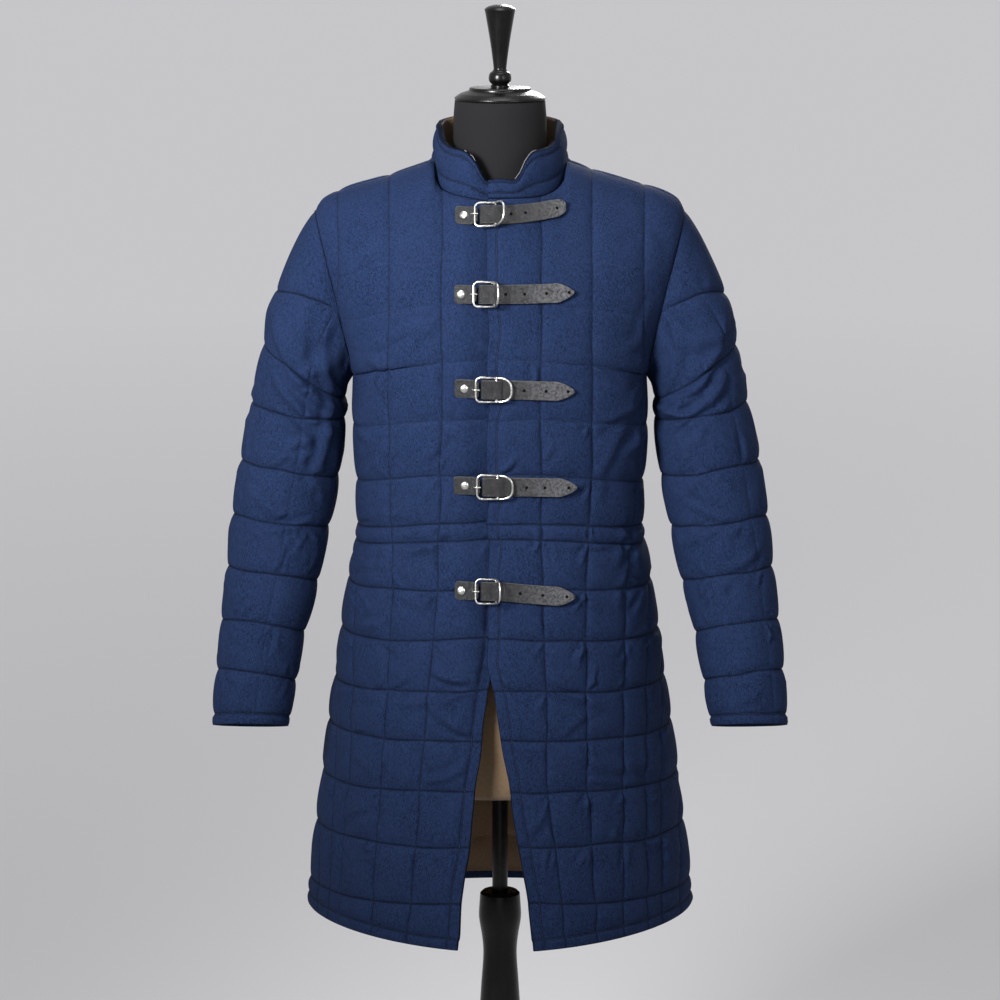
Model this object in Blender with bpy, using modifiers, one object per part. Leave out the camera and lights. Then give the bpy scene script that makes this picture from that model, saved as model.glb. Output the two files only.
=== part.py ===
"""Quilted gambeson worn on a limbless dress form, with its turned stand.

Metres, +Z up. The origin is the middle of the stand's underside, and the front of the coat faces -Y.
The cloth is a padded wall: a smooth base surface carries the seams, the quilting swells outwards
from it, and the inner face is plain.
"""

import math

import bmesh
import bpy
from mathutils import Vector

# ---------------------------------------------------------------- cloth
WALL = 0.0035  # from the base surface to the plain inner face
PILLOW = 0.0055  # how far the padding swells between seams
EDGE_LIFT = 0.0012  # turned edges at fronts, hem and cuffs
EDGE_BAND = 0.0135  # from a turned edge to its row of topstitching
SEAM_GAP = 0.0003
FULL_CELL = 0.045  # quilted squares narrower than this swell less
VERTICAL_SEAM_SWELL = 0.3  # share of the swelling left on the skirt's upright seams
CELL_STEPS = (0.0, 0.22, 0.78)
# Steps between two rows round the armhole, each with whether the plain inner grid has it too.
ARM_STEPS = ((0.0, True), (0.25, False), (0.5, True), (0.75, False))
SHOULDER_STEPS = ((0.0, True), (0.25, False), (0.5, True), (0.75, True), (0.92, True))

# Horizontal sections of the body: height, half width, y of the widest point, front y, back y, squareness.
BODY_SECTIONS = (
    (0.502, 0.252, 0.072, -0.189, 0.182, 1.75),
    (0.600, 0.2405, 0.060, -0.174, 0.170, 1.80),
    (0.700, 0.228, 0.050, -0.163, 0.160, 1.85),
    (0.800, 0.214, 0.038, -0.156, 0.150, 1.95),
    (0.888, 0.2015, 0.028, -0.149, 0.142, 2.05),
    (0.950, 0.192, 0.018, -0.143, 0.132, 2.15),
    (1.010, 0.182, 0.010, -0.136, 0.120, 2.25),
    (1.080, 0.181, 0.004, -0.137, 0.120, 2.35),
    (1.145, 0.185, 0.000, -0.143, 0.126, 2.40),
    (1.215, 0.185, 0.000, -0.147, 0.134, 2.40),
    (1.300, 0.185, 0.000, -0.147, 0.134, 2.40),
)
HALF_WIDTH, WIDEST_Y, FRONT_Y, BACK_Y, SQUARENESS = 1, 2, 3, 4, 5

# Quilting rows from the hem up: height at the side seam, rise at centre front and back, depth of the seam.
ROWS = (
    (0.502, 0.000, 0.000, 1.0),  # hem edge
    (0.516, 0.000, 0.000, 1.0),  # hem topstitching
    (0.537, 0.029, 0.024, 0.6),
    (0.610, 0.026, 0.022, 1.0),
    (0.680, 0.024, 0.020, 1.0),
    (0.748, 0.020, 0.018, 1.0),
    (0.808, 0.024, 0.018, 1.0),
    (0.874, 0.023, 0.016, 1.0),
    (0.940, 0.020, 0.014, 1.0),
    (0.998, 0.024, 0.012, 1.0),  # lower waist row
    (1.018, 0.023, 0.012, 1.0),  # upper waist row
    (1.077, 0.026, 0.012, 0.9),
    (1.149, 0.025, 0.012, 0.9),
    (1.215, 0.032, 0.014, 1.0),  # underarm
    (1.289, 0.029, 0.014, 0.6),
    (1.343, 0.035, 0.014, 0.4),
)
SIDE_Z, FRONT_RISE, BACK_RISE, SEAM_DEPTH = 0, 1, 2, 3
HEM_ROW = 1
UNDERARM_ROW = 13
TOP_ROW = len(ROWS)
WAIST_ROW = 10

# Upright quilting seams: distance from centre front at the hem, thigh, hip, waist and chest heights.
SEAM_LEVELS = (0.502, 0.700, 0.940, 1.040, 1.200)
LEFT_SEAMS = (
    (0.083, 0.060, 0.0525, 0.0505, 0.0505),
    (0.124, 0.110, 0.1076, 0.113, 0.115),
    (0.158, 0.155, 0.158, 0.170, 0.181),
    (0.190, 0.184, 0.188, 0.200, 0.250),
    (0.209, 0.205, 0.205, 0.250, 0.250),
    (0.233, 0.230, 0.250, 0.250, 0.250),
)
RIGHT_SEAMS = (
    (0.118, 0.100, 0.079, 0.0735, 0.0725),
    (0.165, 0.150, 0.134, 0.136, 0.139),
    (0.208, 0.192, 0.182, 0.190, 0.204),
    (0.222, 0.211, 0.205, 0.250, 0.250),
    (0.237, 0.228, 0.250, 0.250, 0.250),
)
CENTRE_BACK_SEAM = -0.011

# Front edges: the wearer's left front lies on top, and both swing open below the hips.
LEFT_EDGE = -0.015
LEFT_OPENS_AT = 0.852
LEFT_SWING = 0.165
RIGHT_EDGE = 0.016
RIGHT_HEM_EDGE = -0.054
RIGHT_SWING = 0.125
UNDERLAP_DEPTH = 0.010
OVERLAP_LIFT = 0.002

# Neck, shoulders and armholes.
NECK_HALF = 0.0865
NECK_SIDE_Z = 1.481
NECK_FRONT_Y = -0.100
NECK_FRONT_DROP = 0.037
NECK_BACK_Y = 0.072
NECK_BACK_RISE = 0.010
NECK_HOLLOW = 0.55  # how far the cloth beside the neck turns to face it
NECK_STEP = math.radians(15)  # most turn round the neck between two points of its edge
CHEST_Y = -0.147
CHEST_TOP_Y = -0.117
UPPER_BACK_Y = 0.134
UPPER_BACK_TOP_Y = 0.098
SHOULDER_LINE = ((0.0865, 1.481), (0.119, 1.470), (0.160, 1.4575), (0.195, 1.4475), (0.222, 1.4345), (0.2330, 1.420))
SHOULDER_NECK_Y = 0.004
ARM_X = 0.2330
CHEST_X = 0.185
ARMHOLE_FRONT = 0.062
ARMHOLE_BACK = 0.068
ARMHOLE_SQUARENESS = 2.6
SHOULDER_ROUNDING = 2.2
ARMHOLE_FLATTENING = 0.26  # how far short of the side a section stops above the underarm
SQUARE_CHEST = BODY_SECTIONS[-1][SQUARENESS]

# Sleeve rings from the shoulder down: inner x, z, outer x, z, middle y, half depth, forward tilt in degrees.
SLEEVE_RINGS = (
    (0.1970, 1.197, 0.2830, 1.316, 0.002, 0.0720, 0.0),
    (0.1980, 1.181, 0.2985, 1.250, 0.002, 0.0720, 0.0),
    (0.1985, 1.156, 0.3135, 1.177, 0.000, 0.0700, 0.0),
    (0.2070, 1.083, 0.3285, 1.103, -0.004, 0.0680, 3.0),
    (0.2200, 1.017, 0.3395, 1.032, -0.010, 0.0650, 6.0),
    (0.2345, 0.947, 0.3465, 0.966, -0.020, 0.0610, 9.0),
    (0.2510, 0.884, 0.3540, 0.900, -0.034, 0.0570, 12.0),
    (0.2620, 0.823, 0.3595, 0.837, -0.050, 0.0530, 14.0),
    (0.2690, 0.779, 0.3640, 0.781, -0.064, 0.0485, 15.0),
    (0.2710, 0.767, 0.3655, 0.768, -0.067, 0.0475, 15.0),
)
CUFF_BAND = 9  # ring row where the cuff's topstitched edge begins
SLEEVE_COLUMNS = 6
SLEEVE_PILLOW = 0.0048

# Stand-up collar: angle round the neck from centre front, height.
COLLAR_HEIGHTS = ((0.0, 0.024), (13.0, 0.024), (21.0, 0.044), (30.0, 0.055), (50.0, 0.054), (90.0, 0.048), (180.0, 0.046))
COLLAR_LEAN = 0.14
COLLAR_WALL = 0.0055
COLLAR_GAP = 0.0005
COLLAR_TUCK = 0.0060  # how much further in the end that runs under stands
COLLAR_ROWS = ((0.0, 0.0), (0.15, 0.0012), (0.30, 0.0), (0.6, 0.0025), (0.85, 0.0), (1.0, 0.001))

# Dress form and stand.
FORM_SECTIONS = (
    # side height, front and back height, half width, middle y, half depth, squareness
    (0.6800, 0.6800, 0.1500, 0.000, 0.1120, 2.20),
    (0.6860, 0.6860, 0.1560, 0.000, 0.1180, 2.20),
    (0.7600, 0.7600, 0.1640, 0.002, 0.1240, 2.20),
    (0.8600, 0.8600, 0.1680, 0.000, 0.1240, 2.20),
    (0.9400, 0.9400, 0.1640, -0.003, 0.1180, 2.20),
    (1.0200, 1.0200, 0.1560, -0.006, 0.1080, 2.20),
    (1.1000, 1.1000, 0.1580, -0.006, 0.1120, 2.30),
    (1.2000, 1.2000, 0.1640, -0.006, 0.1200, 2.20),
    (1.2900, 1.2900, 0.1740, -0.004, 0.1190, 2.20),
    (1.3500, 1.3500, 0.1850, -0.002, 0.1130, 2.05),
    (1.3880, 1.3880, 0.1900, 0.000, 0.1030, 1.90),
    (1.4180, 1.4110, 0.1890, -0.001, 0.0930, 1.80),
    (1.4385, 1.4240, 0.1850, -0.002, 0.0860, 1.72),
    (1.4471, 1.4310, 0.1770, -0.002, 0.0810, 1.68),
    (1.4556, 1.4350, 0.1500, -0.001, 0.0745, 1.66),
    (1.4640, 1.4380, 0.1230, 0.001, 0.0670, 1.62),
    (1.4695, 1.4400, 0.1020, 0.004, 0.0580, 1.60),
    (1.4600, 1.4420, 0.0820, 0.004, 0.0560, 1.85),
    (1.4720, 1.4525, 0.0680, 0.000, 0.0620, 2.00),
    (1.4735, 1.4540, 0.0620, 0.000, 0.0615, 2.00),
    (1.4540, 1.4540, 0.0605, 0.000, 0.0605, 2.00),
)
FORM_SEGMENTS = 28
NECK_PROFILE = ((0.0595, 1.4545), (0.0590, 1.500), (0.0585, 1.540), (0.0570, 1.5590))
CAP_PROFILE = ((0.0560, 1.5593), (0.0573, 1.5600), (0.0573, 1.5625), (0.0500, 1.5675), (0.0390, 1.5712),
               (0.0388, 1.5735), (0.0375, 1.5750))
FINIAL_PROFILE = ((0.0116, 1.5753), (0.0116, 1.5775), (0.0100, 1.5785), (0.0135, 1.5825), (0.0143, 1.5866),
                  (0.0130, 1.5925), (0.0087, 1.5965), (0.0085, 1.6030), (0.0125, 1.6330), (0.0185, 1.6680),
                  (0.0196, 1.6724), (0.0150, 1.6762), (0.0070, 1.6785))
POLE_RADIUS = 0.0100
POLE_TOP = 0.6797
COLUMN_TOP = 0.5326
COLUMN_PROFILE = ((0.0340, 0.0223), (0.0340, 0.0320), (0.0262, 0.0420), (0.0262, 0.3800), (0.0242, 0.4110),
                  (0.0218, 0.4480), (0.0235, 0.4720), (0.0274, 0.4970), (0.0266, 0.5180), (0.0258, 0.5290),
                  (0.0225, 0.5323))
BASE_PROFILE = ((0.1700, 0.0000), (0.1750, 0.0040), (0.1750, 0.0150), (0.1690, 0.0200), (0.0600, 0.0220))
TURNED_STEPS = 20
BASE_STEPS = 32

# Fastenings: height, strap tip x, rise of the tip, buckle's left x, rivet x, how far the right loop is tipped up,
# how far the strap's tail is sunk in the padding, how far the tab is sunk.
FASTENINGS = (
    (1.4225, 0.079, 0.0060, -0.0310, -0.0440, 50.0, 0.0000, 0.0012),
    (1.3295, 0.0905, 0.0010, -0.0335, -0.0475, 72.0, 0.0000, 0.0012),
    (1.2140, 0.0900, -0.0045, -0.0310, -0.0437, 11.0, 0.0007, 0.0012),
    (1.0910, 0.0918, -0.0035, -0.0290, -0.0420, 11.0, 0.0001, 0.0012),
    (0.9570, 0.0905, -0.0100, -0.0310, -0.0475, 72.0, 0.0000, 0.0030),
)
STRAP_HALF = 0.0118
STRAP_THICK = 0.0022
STRAP_TAPER = 0.020
FASTENING_MIDDLE = 0.010
STRAP_STATIONS = (0.024, 0.036, 0.047, 0.058)
TAB_LEFT = -0.0555
TAB_HALF = 0.0115
WIRE = 0.0014
LOOP_HALF = 0.0153
LOOP_LENGTH = 0.0270
BAR_HEIGHT = 0.0052
LOOP_CORNER = 0.0060
ROUND_REACH = 0.0190
ROUND_SQUARENESS = 0.72
PRONG_RADIUS = 0.0009
PRONG_PATH = ((-0.0038, 0.0000), (-0.0027, 0.0024), (-0.0001, 0.0037), (0.0050, 0.0025), (0.0130, 0.0008))
RIVET_RADIUS = 0.0052
RIVET_HEIGHT = 0.0020
CLEAR = 0.0004  # between leather and metal

COLOURS = {
    "navy": ((0.012, 0.035, 0.12), 0.9, 0.0),
    "leather": ((0.02, 0.018, 0.017), 0.55, 0.0),
    "nickel": ((0.75, 0.75, 0.74), 0.25, 1.0),
    "jersey": ((0.03, 0.03, 0.032), 0.95, 0.0),
    "linen": ((0.42, 0.30, 0.18), 0.9, 0.0),
    "black_wood": ((0.012, 0.011, 0.011), 0.3, 0.0),
}


# ---------------------------------------------------------------- helpers
def smoothed(table, column, at):
    """Value of a column, on a cubic curve through the rows of a table keyed by its first column."""
    last = len(table) - 1
    if at <= table[0][0]:
        return table[0][column]
    if at >= table[last][0]:
        return table[last][column]
    row = max(k for k in range(last) if table[k][0] <= at)
    slopes = []
    for k in (row, row + 1):
        low, high = max(k - 1, 0), min(k + 1, last)
        slopes.append((table[high][column] - table[low][column]) / (table[high][0] - table[low][0]))
    span = table[row + 1][0] - table[row][0]
    t = (at - table[row][0]) / span
    start, end = table[row][column], table[row + 1][column]
    return (
        start * (2 * t**3 - 3 * t**2 + 1)
        + slopes[0] * span * (t**3 - 2 * t**2 + t)
        + end * (3 * t**2 - 2 * t**3)
        + slopes[1] * span * (t**3 - t**2)
    )


def straight(keys, values, at):
    """Straight-line interpolation."""
    if at <= keys[0]:
        return values[0]
    for k in range(1, len(keys)):
        if at <= keys[k]:
            share = (at - keys[k - 1]) / (keys[k] - keys[k - 1])
            return values[k - 1] + share * (values[k] - values[k - 1])
    return values[-1]


def eased(low, high, value):
    """0 below low, 1 above high, with soft ends."""
    t = min(max((value - low) / (high - low), 0.0), 1.0)
    return t * t * (3 - 2 * t)


def new_object(name, bm, colour, collection, smooth_angle=None):
    """Turns a bmesh into a named object with its own material."""
    bmesh.ops.recalc_face_normals(bm, faces=bm.faces)
    mesh = bpy.data.meshes.new(name)
    bm.to_mesh(mesh)
    bm.free()
    obj = bpy.data.objects.new(name, mesh)
    collection.objects.link(obj)
    paint(obj, colour)
    if smooth_angle is not None:
        mesh.shade_smooth()
        mesh.set_sharp_from_angle(angle=math.radians(smooth_angle))
    return obj


def paint(obj, colour):
    """Gives the object a material of its own."""
    base, roughness, metallic = COLOURS[colour]
    material = bpy.data.materials.new(obj.name + "_" + colour)
    material.use_nodes = True
    shader = material.node_tree.nodes["Principled BSDF"]
    shader.inputs["Base Color"].default_value = (*base, 1.0)
    shader.inputs["Roughness"].default_value = roughness
    shader.inputs["Metallic"].default_value = metallic
    obj.data.materials.clear()
    obj.data.materials.append(material)


class Skin:
    """Collects faces by their corner points, so that points in the same place are one vertex."""

    def __init__(self):
        self.bm = bmesh.new()
        self.found = {}

    def vertex(self, point):
        key = tuple(round(c, 7) for c in point)
        if key not in self.found:
            self.found[key] = self.bm.verts.new(point)
        return self.found[key]

    def face(self, points):
        corners = []
        for point in points:
            vertex = self.vertex(point)
            if vertex not in corners:
                corners.append(vertex)
        if len(corners) > 2 and self.bm.faces.get(corners) is None:
            self.bm.faces.new(corners)


def rim(skin, fine, coarse):
    """Triangles between a run of outer points and the two inner points behind it, alike on both sides of a seam."""
    if abs(fine[0].x) < abs(fine[-1].x):
        fine, coarse = fine[::-1], coarse[::-1]
    middle = len(fine) // 2
    for k in range(len(fine) - 1):
        skin.face((fine[k], fine[k + 1], coarse[0] if k < middle else coarse[1]))
    skin.face((fine[middle], coarse[1], coarse[0]))


def wall_object(name, outer, inner, plain_rows, plain_columns, colour, collection, tube=False, top=None):
    """A closed wall: a fine outer grid, a plain inner grid on some of its lines, and rims between them.

    top holds, for each column of the outer grid, the (outer, inner) points along the last row up to the next.
    """
    skin = Skin()
    last_row = len(outer) - 1
    last_column = len(outer[0]) - 1
    fine_from = plain_rows[-4] if top else last_row
    for i in range(last_row):
        for j in range(last_column):
            if i >= fine_from:
                run = [pair[0] for pair in top[j]] if i == last_row - 1 else outer[i + 1][j : j + 2]
                rim(skin, run, (outer[i][j], outer[i][j + 1]))
            else:
                skin.face((outer[i][j], outer[i][j + 1], outer[i + 1][j + 1], outer[i + 1][j]))
    for a, b in zip(plain_rows, plain_rows[1:]):
        for c, d in zip(plain_columns, plain_columns[1:]):
            if top and b == fine_from:
                rim(skin, inner[b][c : d + 1], (inner[a][c], inner[a][d]))
            elif top and b > fine_from:
                for j in range(c, d):
                    run = [pair[1] for pair in top[j]] if b == last_row else inner[b][j : j + 2]
                    rim(skin, run, (inner[a][j], inner[a][j + 1]))
            else:
                skin.face((inner[a][c], inner[b][c], inner[b][d], inner[a][d]))
    for i in (0,) if top else (0, last_row):
        for c, d in zip(plain_columns, plain_columns[1:]):
            rim(skin, outer[i][c : d + 1], (inner[i][c], inner[i][d]))
    if top:
        run = joined(top)
        for one, two in zip(run, run[1:]):
            rim(skin, (one[0], two[0]), (one[1], two[1]))
    if not tube:
        for j in (0, last_column):
            for a, b in zip(plain_rows, plain_rows[1:]):
                rim(skin, [outer[i][j] for i in range(a, b + 1)], (inner[a][j], inner[b][j]))
    return new_object(name, skin.bm, colour, collection, smooth_angle=50)


def joined(runs):
    """One run of points from several that meet end to end."""
    found = [runs[0][0]]
    for run in runs:
        found += run[1:]
    return found


# ---------------------------------------------------------------- body surface
def on_shoulder(x):
    """Height of the shoulder seam at a distance from the middle."""
    return smoothed(SHOULDER_LINE, 1, x)


def top_point(side, angle):
    """Point of the neckline or of the shoulder seam; side is -1 in front and 1 behind."""
    x = ARM_X * section_shares(angle, TOP_ROW, SQUARE_CHEST)[0]
    if abs(x) >= NECK_HALF:
        share = (abs(x) - NECK_HALF) / (ARM_X - NECK_HALF)
        return x, SHOULDER_NECK_Y * (1 - share), on_shoulder(abs(x))
    round_neck = math.sqrt(1 - (x / NECK_HALF) ** 2)
    if side < 0:
        y = SHOULDER_NECK_Y + (NECK_FRONT_Y - SHOULDER_NECK_Y) * round_neck
        return x, y, NECK_SIDE_Z - NECK_FRONT_DROP * (1 - (1 - round_neck) ** 2)
    return x, SHOULDER_NECK_Y + (NECK_BACK_Y - SHOULDER_NECK_Y) * round_neck, NECK_SIDE_Z + NECK_BACK_RISE * round_neck


def power(value, exponent):
    """Power of a signed value that keeps its sign."""
    return math.copysign(abs(value) ** exponent, value)


def wrap_at(row):
    """Share of the quarter turn a section makes: above the underarm it stops short, at the armhole."""
    return 1 - ARMHOLE_FLATTENING * eased(UNDERARM_ROW, UNDERARM_ROW + 0.8, row)


def section_shares(angle, row, squareness):
    """How far across and how far forward a section has come at an angle, each from 0 to 1."""
    wrap = wrap_at(row)
    exponent = 2 / squareness
    end_across = math.sin(wrap * math.pi / 2) ** exponent
    end_forward = math.cos(wrap * math.pi / 2) ** exponent
    across = power(math.sin(wrap * angle), exponent) / end_across
    forward = (abs(math.cos(wrap * angle)) ** exponent - end_forward) / (1 - end_forward)
    return across, forward


def row_height(side, row, angle):
    """Height of a quilting row, which need not be a whole number, at an angle round the body."""
    rise = FRONT_RISE if side < 0 else BACK_RISE
    middle = abs(math.cos(angle)) ** 1.6
    low = min(int(row), TOP_ROW - 1)
    share = row - low
    start = ROWS[low][SIDE_Z] + ROWS[low][rise] * middle
    if low + 1 == TOP_ROW:
        end = top_point(side, angle)[2]
    else:
        end = ROWS[low + 1][SIDE_Z] + ROWS[low + 1][rise] * middle
    return start + share * (end - start)


def body_point(side, row, angle):
    """Base surface of the body at a quilting row and an angle from the middle to the side seam."""
    z = row_height(side, row, angle)
    if row <= UNDERARM_ROW:
        across, forward = section_shares(angle, row, smoothed(BODY_SECTIONS, SQUARENESS, z))
        widest = smoothed(BODY_SECTIONS, WIDEST_Y, z)
        middle_y = smoothed(BODY_SECTIONS, FRONT_Y if side < 0 else BACK_Y, z)
        x = smoothed(BODY_SECTIONS, HALF_WIDTH, z) * across
        return Vector((x, widest + (middle_y - widest) * forward, z))
    low = row_height(side, UNDERARM_ROW, angle)
    top = top_point(side, angle)
    t = min(max((z - low) / (top[2] - low), 0.0), 1.0)
    edge_x = CHEST_X + (ARM_X - CHEST_X) * t**1.15
    depth = -ARMHOLE_FRONT if side < 0 else ARMHOLE_BACK
    edge_y = depth * math.sqrt(max(1 - abs(2 * t - 1) ** ARMHOLE_SQUARENESS, 0.0))
    start_y, end_y = (CHEST_Y, CHEST_TOP_Y) if side < 0 else (UPPER_BACK_Y, UPPER_BACK_TOP_Y)
    middle_y = start_y + (end_y - start_y) * t**2
    across, forward = section_shares(angle, row, SQUARE_CHEST)
    over = 1 - (1 - t**SHOULDER_ROUNDING) ** (1 / SHOULDER_ROUNDING)
    y = edge_y + (middle_y - edge_y) * forward + (top[1] - end_y * forward) * over
    return Vector((edge_x * across, y, z))


def surface_normal(point_at, u, v, u_top, v_top, centre):
    """Outward normal of a surface given as a function of two values."""
    step = 0.01
    du = point_at(min(u + step, u_top), v) - point_at(max(u - step, 0.0), v)
    dv = point_at(u, min(v + step, v_top)) - point_at(u, v - step)
    normal = du.cross(dv).normalized()
    return normal if normal.dot(point_at(u, v) - centre) > 0 else -normal


def body_normal(side, row, angle):
    """Outward normal; at the side and shoulder seams it is shared by front and back."""
    angle = min(abs(angle), math.pi / 2)
    level = min(row, TOP_ROW - 0.4)
    centre = Vector((0.0, 0.01, row_height(side, level, angle) - 0.05))

    def one(which):
        normal = surface_normal(lambda r, a: body_point(which, r, a), level, angle, TOP_ROW, math.pi / 2, centre)
        if which < 0:
            x = body_point(which, level, angle).x
            beside_neck = eased(0.030, 0.060, x) * (1 - eased(0.080, 0.115, x))
            normal.x -= NECK_HOLLOW * beside_neck * eased(TOP_ROW - 1, TOP_ROW - 0.25, level)
        return normal.normalized()

    on_side_seam = angle > math.pi / 2 - 1e-6 and row <= UNDERARM_ROW
    on_shoulder_seam = row >= TOP_ROW and abs(top_point(side, angle)[0]) >= NECK_HALF - 1e-6
    if on_side_seam or on_shoulder_seam:
        return (one(-1) + one(1)).normalized()
    return one(side)


def half_width_at(row):
    """Half width of the body at a row, which the upright seams run off at the side."""
    return body_point(-1, row, math.pi / 2).x


def seam_angle(distance, row):
    """Angle round the body of a point a signed distance from the middle, as seen from the front."""
    share = min(abs(distance) / half_width_at(row), 1.0)
    squareness = smoothed(BODY_SECTIONS, SQUARENESS, row_height(-1, row, math.pi / 2))
    wrap = wrap_at(row)
    return math.copysign(math.asin(share ** (squareness / 2) * math.sin(wrap * math.pi / 2)) / wrap, distance)


# ---------------------------------------------------------------- sleeve surface
def armhole_point(column):
    """Point of the armhole seam: column 0 is the underarm, 3 the shoulder, with the front first."""
    half = SLEEVE_COLUMNS / 2
    if column <= half:
        return body_point(-1, UNDERARM_ROW + column, math.pi / 2)
    return body_point(1, UNDERARM_ROW + SLEEVE_COLUMNS - column, math.pi / 2)


def ring_point(ring, column):
    """Point on one of the sleeve's rings; ring 0 is the armhole."""
    column = column % SLEEVE_COLUMNS
    if ring == 0:
        return armhole_point(column)
    inner_x, inner_z, outer_x, outer_z, middle_y, depth, tilt = SLEEVE_RINGS[ring - 1]
    turn = 2 * math.pi * column / SLEEVE_COLUMNS
    tilt = math.radians(tilt)
    middle = Vector(((inner_x + outer_x) / 2, middle_y, (inner_z + outer_z) / 2))
    across = Vector(((outer_x - inner_x) / 2, 0.0, (outer_z - inner_z) / 2))
    forward = Vector((0.0, -math.cos(tilt), math.sin(tilt))) * depth
    return middle - across * math.cos(turn) + forward * math.sin(turn)


def sleeve_point(ring, column):
    """Base surface of the sleeve, on a cubic curve through its rings."""
    last = len(SLEEVE_RINGS)
    low = min(int(ring), last - 1)
    t = ring - low
    before, start, end, after = (ring_point(min(max(k, 0), last), column) for k in (low - 1, low, low + 1, low + 2))
    slope_in = (end - before) / 2
    slope_out = (after - start) / 2
    return (
        start * (2 * t**3 - 3 * t**2 + 1)
        + slope_in * (t**3 - 2 * t**2 + t)
        + end * (3 * t**2 - 2 * t**3)
        + slope_out * (t**3 - t**2)
    )


def sleeve_normal(ring, column):
    """Outward normal of the sleeve; on the armhole seam it is shared with the body."""
    middle = (sleeve_point(ring, 0.0) + sleeve_point(ring, SLEEVE_COLUMNS / 2)) / 2
    normal = surface_normal(sleeve_point, ring, column, len(SLEEVE_RINGS), SLEEVE_COLUMNS * 2, middle)
    if ring > 0:
        return normal
    column = column % SLEEVE_COLUMNS
    side = -1 if column <= SLEEVE_COLUMNS / 2 else 1
    row = UNDERARM_ROW + min(column, SLEEVE_COLUMNS - column)
    return (normal + body_normal(side, row, math.pi / 2)).normalized()


# ---------------------------------------------------------------- panels
def mesh_rows():
    """(row value, seam row or None, on the plain grid) for each mesh row of the body."""
    found = []
    for row in range(TOP_ROW):
        steps = [(step, step == 0.0) for step in CELL_STEPS]
        if row < HEM_ROW:
            steps = steps[:1]
        elif row == TOP_ROW - 1:
            steps = SHOULDER_STEPS
        elif row >= UNDERARM_ROW:
            steps = ARM_STEPS
        for step, plain in steps:
            found.append((row + step, row if step == 0 else None, plain))
    found.append((float(TOP_ROW), TOP_ROW, True))
    return found


def row_swell(seam_row):
    """Share of the full swelling on a seam row: a shallow seam keeps some of it."""
    if seam_row is None:
        return 1.0
    return 0.0 if seam_row >= TOP_ROW else 1.0 - ROWS[seam_row][SEAM_DEPTH]


def seam_positions(seams, level):
    return [straight(SEAM_LEVELS, seam, level) for seam in seams]


def left_front_edge(level):
    return LEFT_EDGE + LEFT_SWING * max(LEFT_OPENS_AT - level, 0.0)


def right_front_edge(level):
    """Distance of the right front's edge on its own side of the middle, negative where it runs under."""
    slanted = -RIGHT_HEM_EDGE - RIGHT_SWING * (level - ROWS[0][SIDE_Z])
    return max(slanted, -RIGHT_EDGE)


def front_seams(level, edge, seams):
    """Edge, topstitching, upright seams and side seam of a front, out from the middle."""
    first = edge + EDGE_BAND
    return [edge, first] + [max(x, first + 0.004) for x in seam_positions(seams, level)] + [1.0]


def back_seams(level):
    right = [-x for x in seam_positions(RIGHT_SEAMS, level)]
    return [-1.0] + right[::-1] + [CENTRE_BACK_SEAM] + seam_positions(LEFT_SEAMS, level) + [1.0]


def column_angles(row, seams_at, band):
    """(angle, share of the swelling, seam, on the plain grid) for each mesh column at a row."""
    level = row_height(-1, row, math.pi / 2)
    angles = [seam_angle(x, row) for x in seams_at(level)]
    size = half_width_at(row)
    upright = VERTICAL_SEAM_SWELL if row < WAIST_ROW else 0.0
    found = []
    for k in range(len(angles) - 1):
        width = abs(angles[k + 1] - angles[k]) * size
        swell = min(width / FULL_CELL, 1.0)
        banded = band and k == 0
        before = abs(angles[k] - angles[k - 1]) * size if k else 0.0
        on_seam = upright * min(width, before) / FULL_CELL if k > band else 0.0
        found.append((angles[k], min(on_seam, upright), True))
        for step in () if banded else CELL_STEPS[1:]:
            found.append((angles[k] + step * (angles[k + 1] - angles[k]), swell, False))
    found.append((angles[-1], 0.0, True))
    return found


def neck_columns(angles):
    """Mesh columns that run up to the neck points, where shoulder seam and neckline meet."""
    neck_angle = seam_angle(NECK_HALF, float(TOP_ROW))
    found = {}
    for target in (-neck_angle, neck_angle):
        nearest = min(range(len(angles)), key=lambda j: abs(angles[j] - target))
        if abs(angles[nearest] - target) < 0.2:
            found[nearest] = target
    return found


def overlap_shift(mirror, x, z):
    """How far a front's edge is pushed back under the other one, or lifted over it."""
    apart = eased(0.70, 0.86, z)
    if mirror < 0:
        return -UNDERLAP_DEPTH * (1 - eased(0.012, 0.050, x)) * apart
    return OVERLAP_LIFT * (1 - eased(0.000, 0.045, x)) * apart


def wall_pair(side, mirror, row, angle, height):
    """Outer and inner point of the wall at a place on the body."""
    base = body_point(side, row, angle)
    normal = body_normal(side, row, angle)
    if angle < 0:
        normal.x = -normal.x
    if side < 0:
        base += normal * overlap_shift(mirror, base.x, base.z)
    if abs(angle) > math.pi / 2 - 1e-6 or row >= TOP_ROW:
        base.y += side * SEAM_GAP / 2
    top = base + normal * height
    under = base - normal * WALL
    return Vector((top.x * mirror, top.y, top.z)), Vector((under.x * mirror, under.y, under.z))


def armhole_pair(side, mirror, row, angle):
    """Outer and inner point of a panel's armhole edge, with the slant that the sleeve's edge has."""
    column = row - UNDERARM_ROW if side < 0 else UNDERARM_ROW + SLEEVE_COLUMNS - row
    base = armhole_point(column)
    if row in (UNDERARM_ROW, TOP_ROW):
        base.y += side * SEAM_GAP / 2
    under = base - sleeve_normal(0, column) * WALL
    sign = math.copysign(mirror, angle * mirror)
    return Vector((base.x * sign, base.y, base.z)), Vector((under.x * sign, under.y, under.z))


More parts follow.
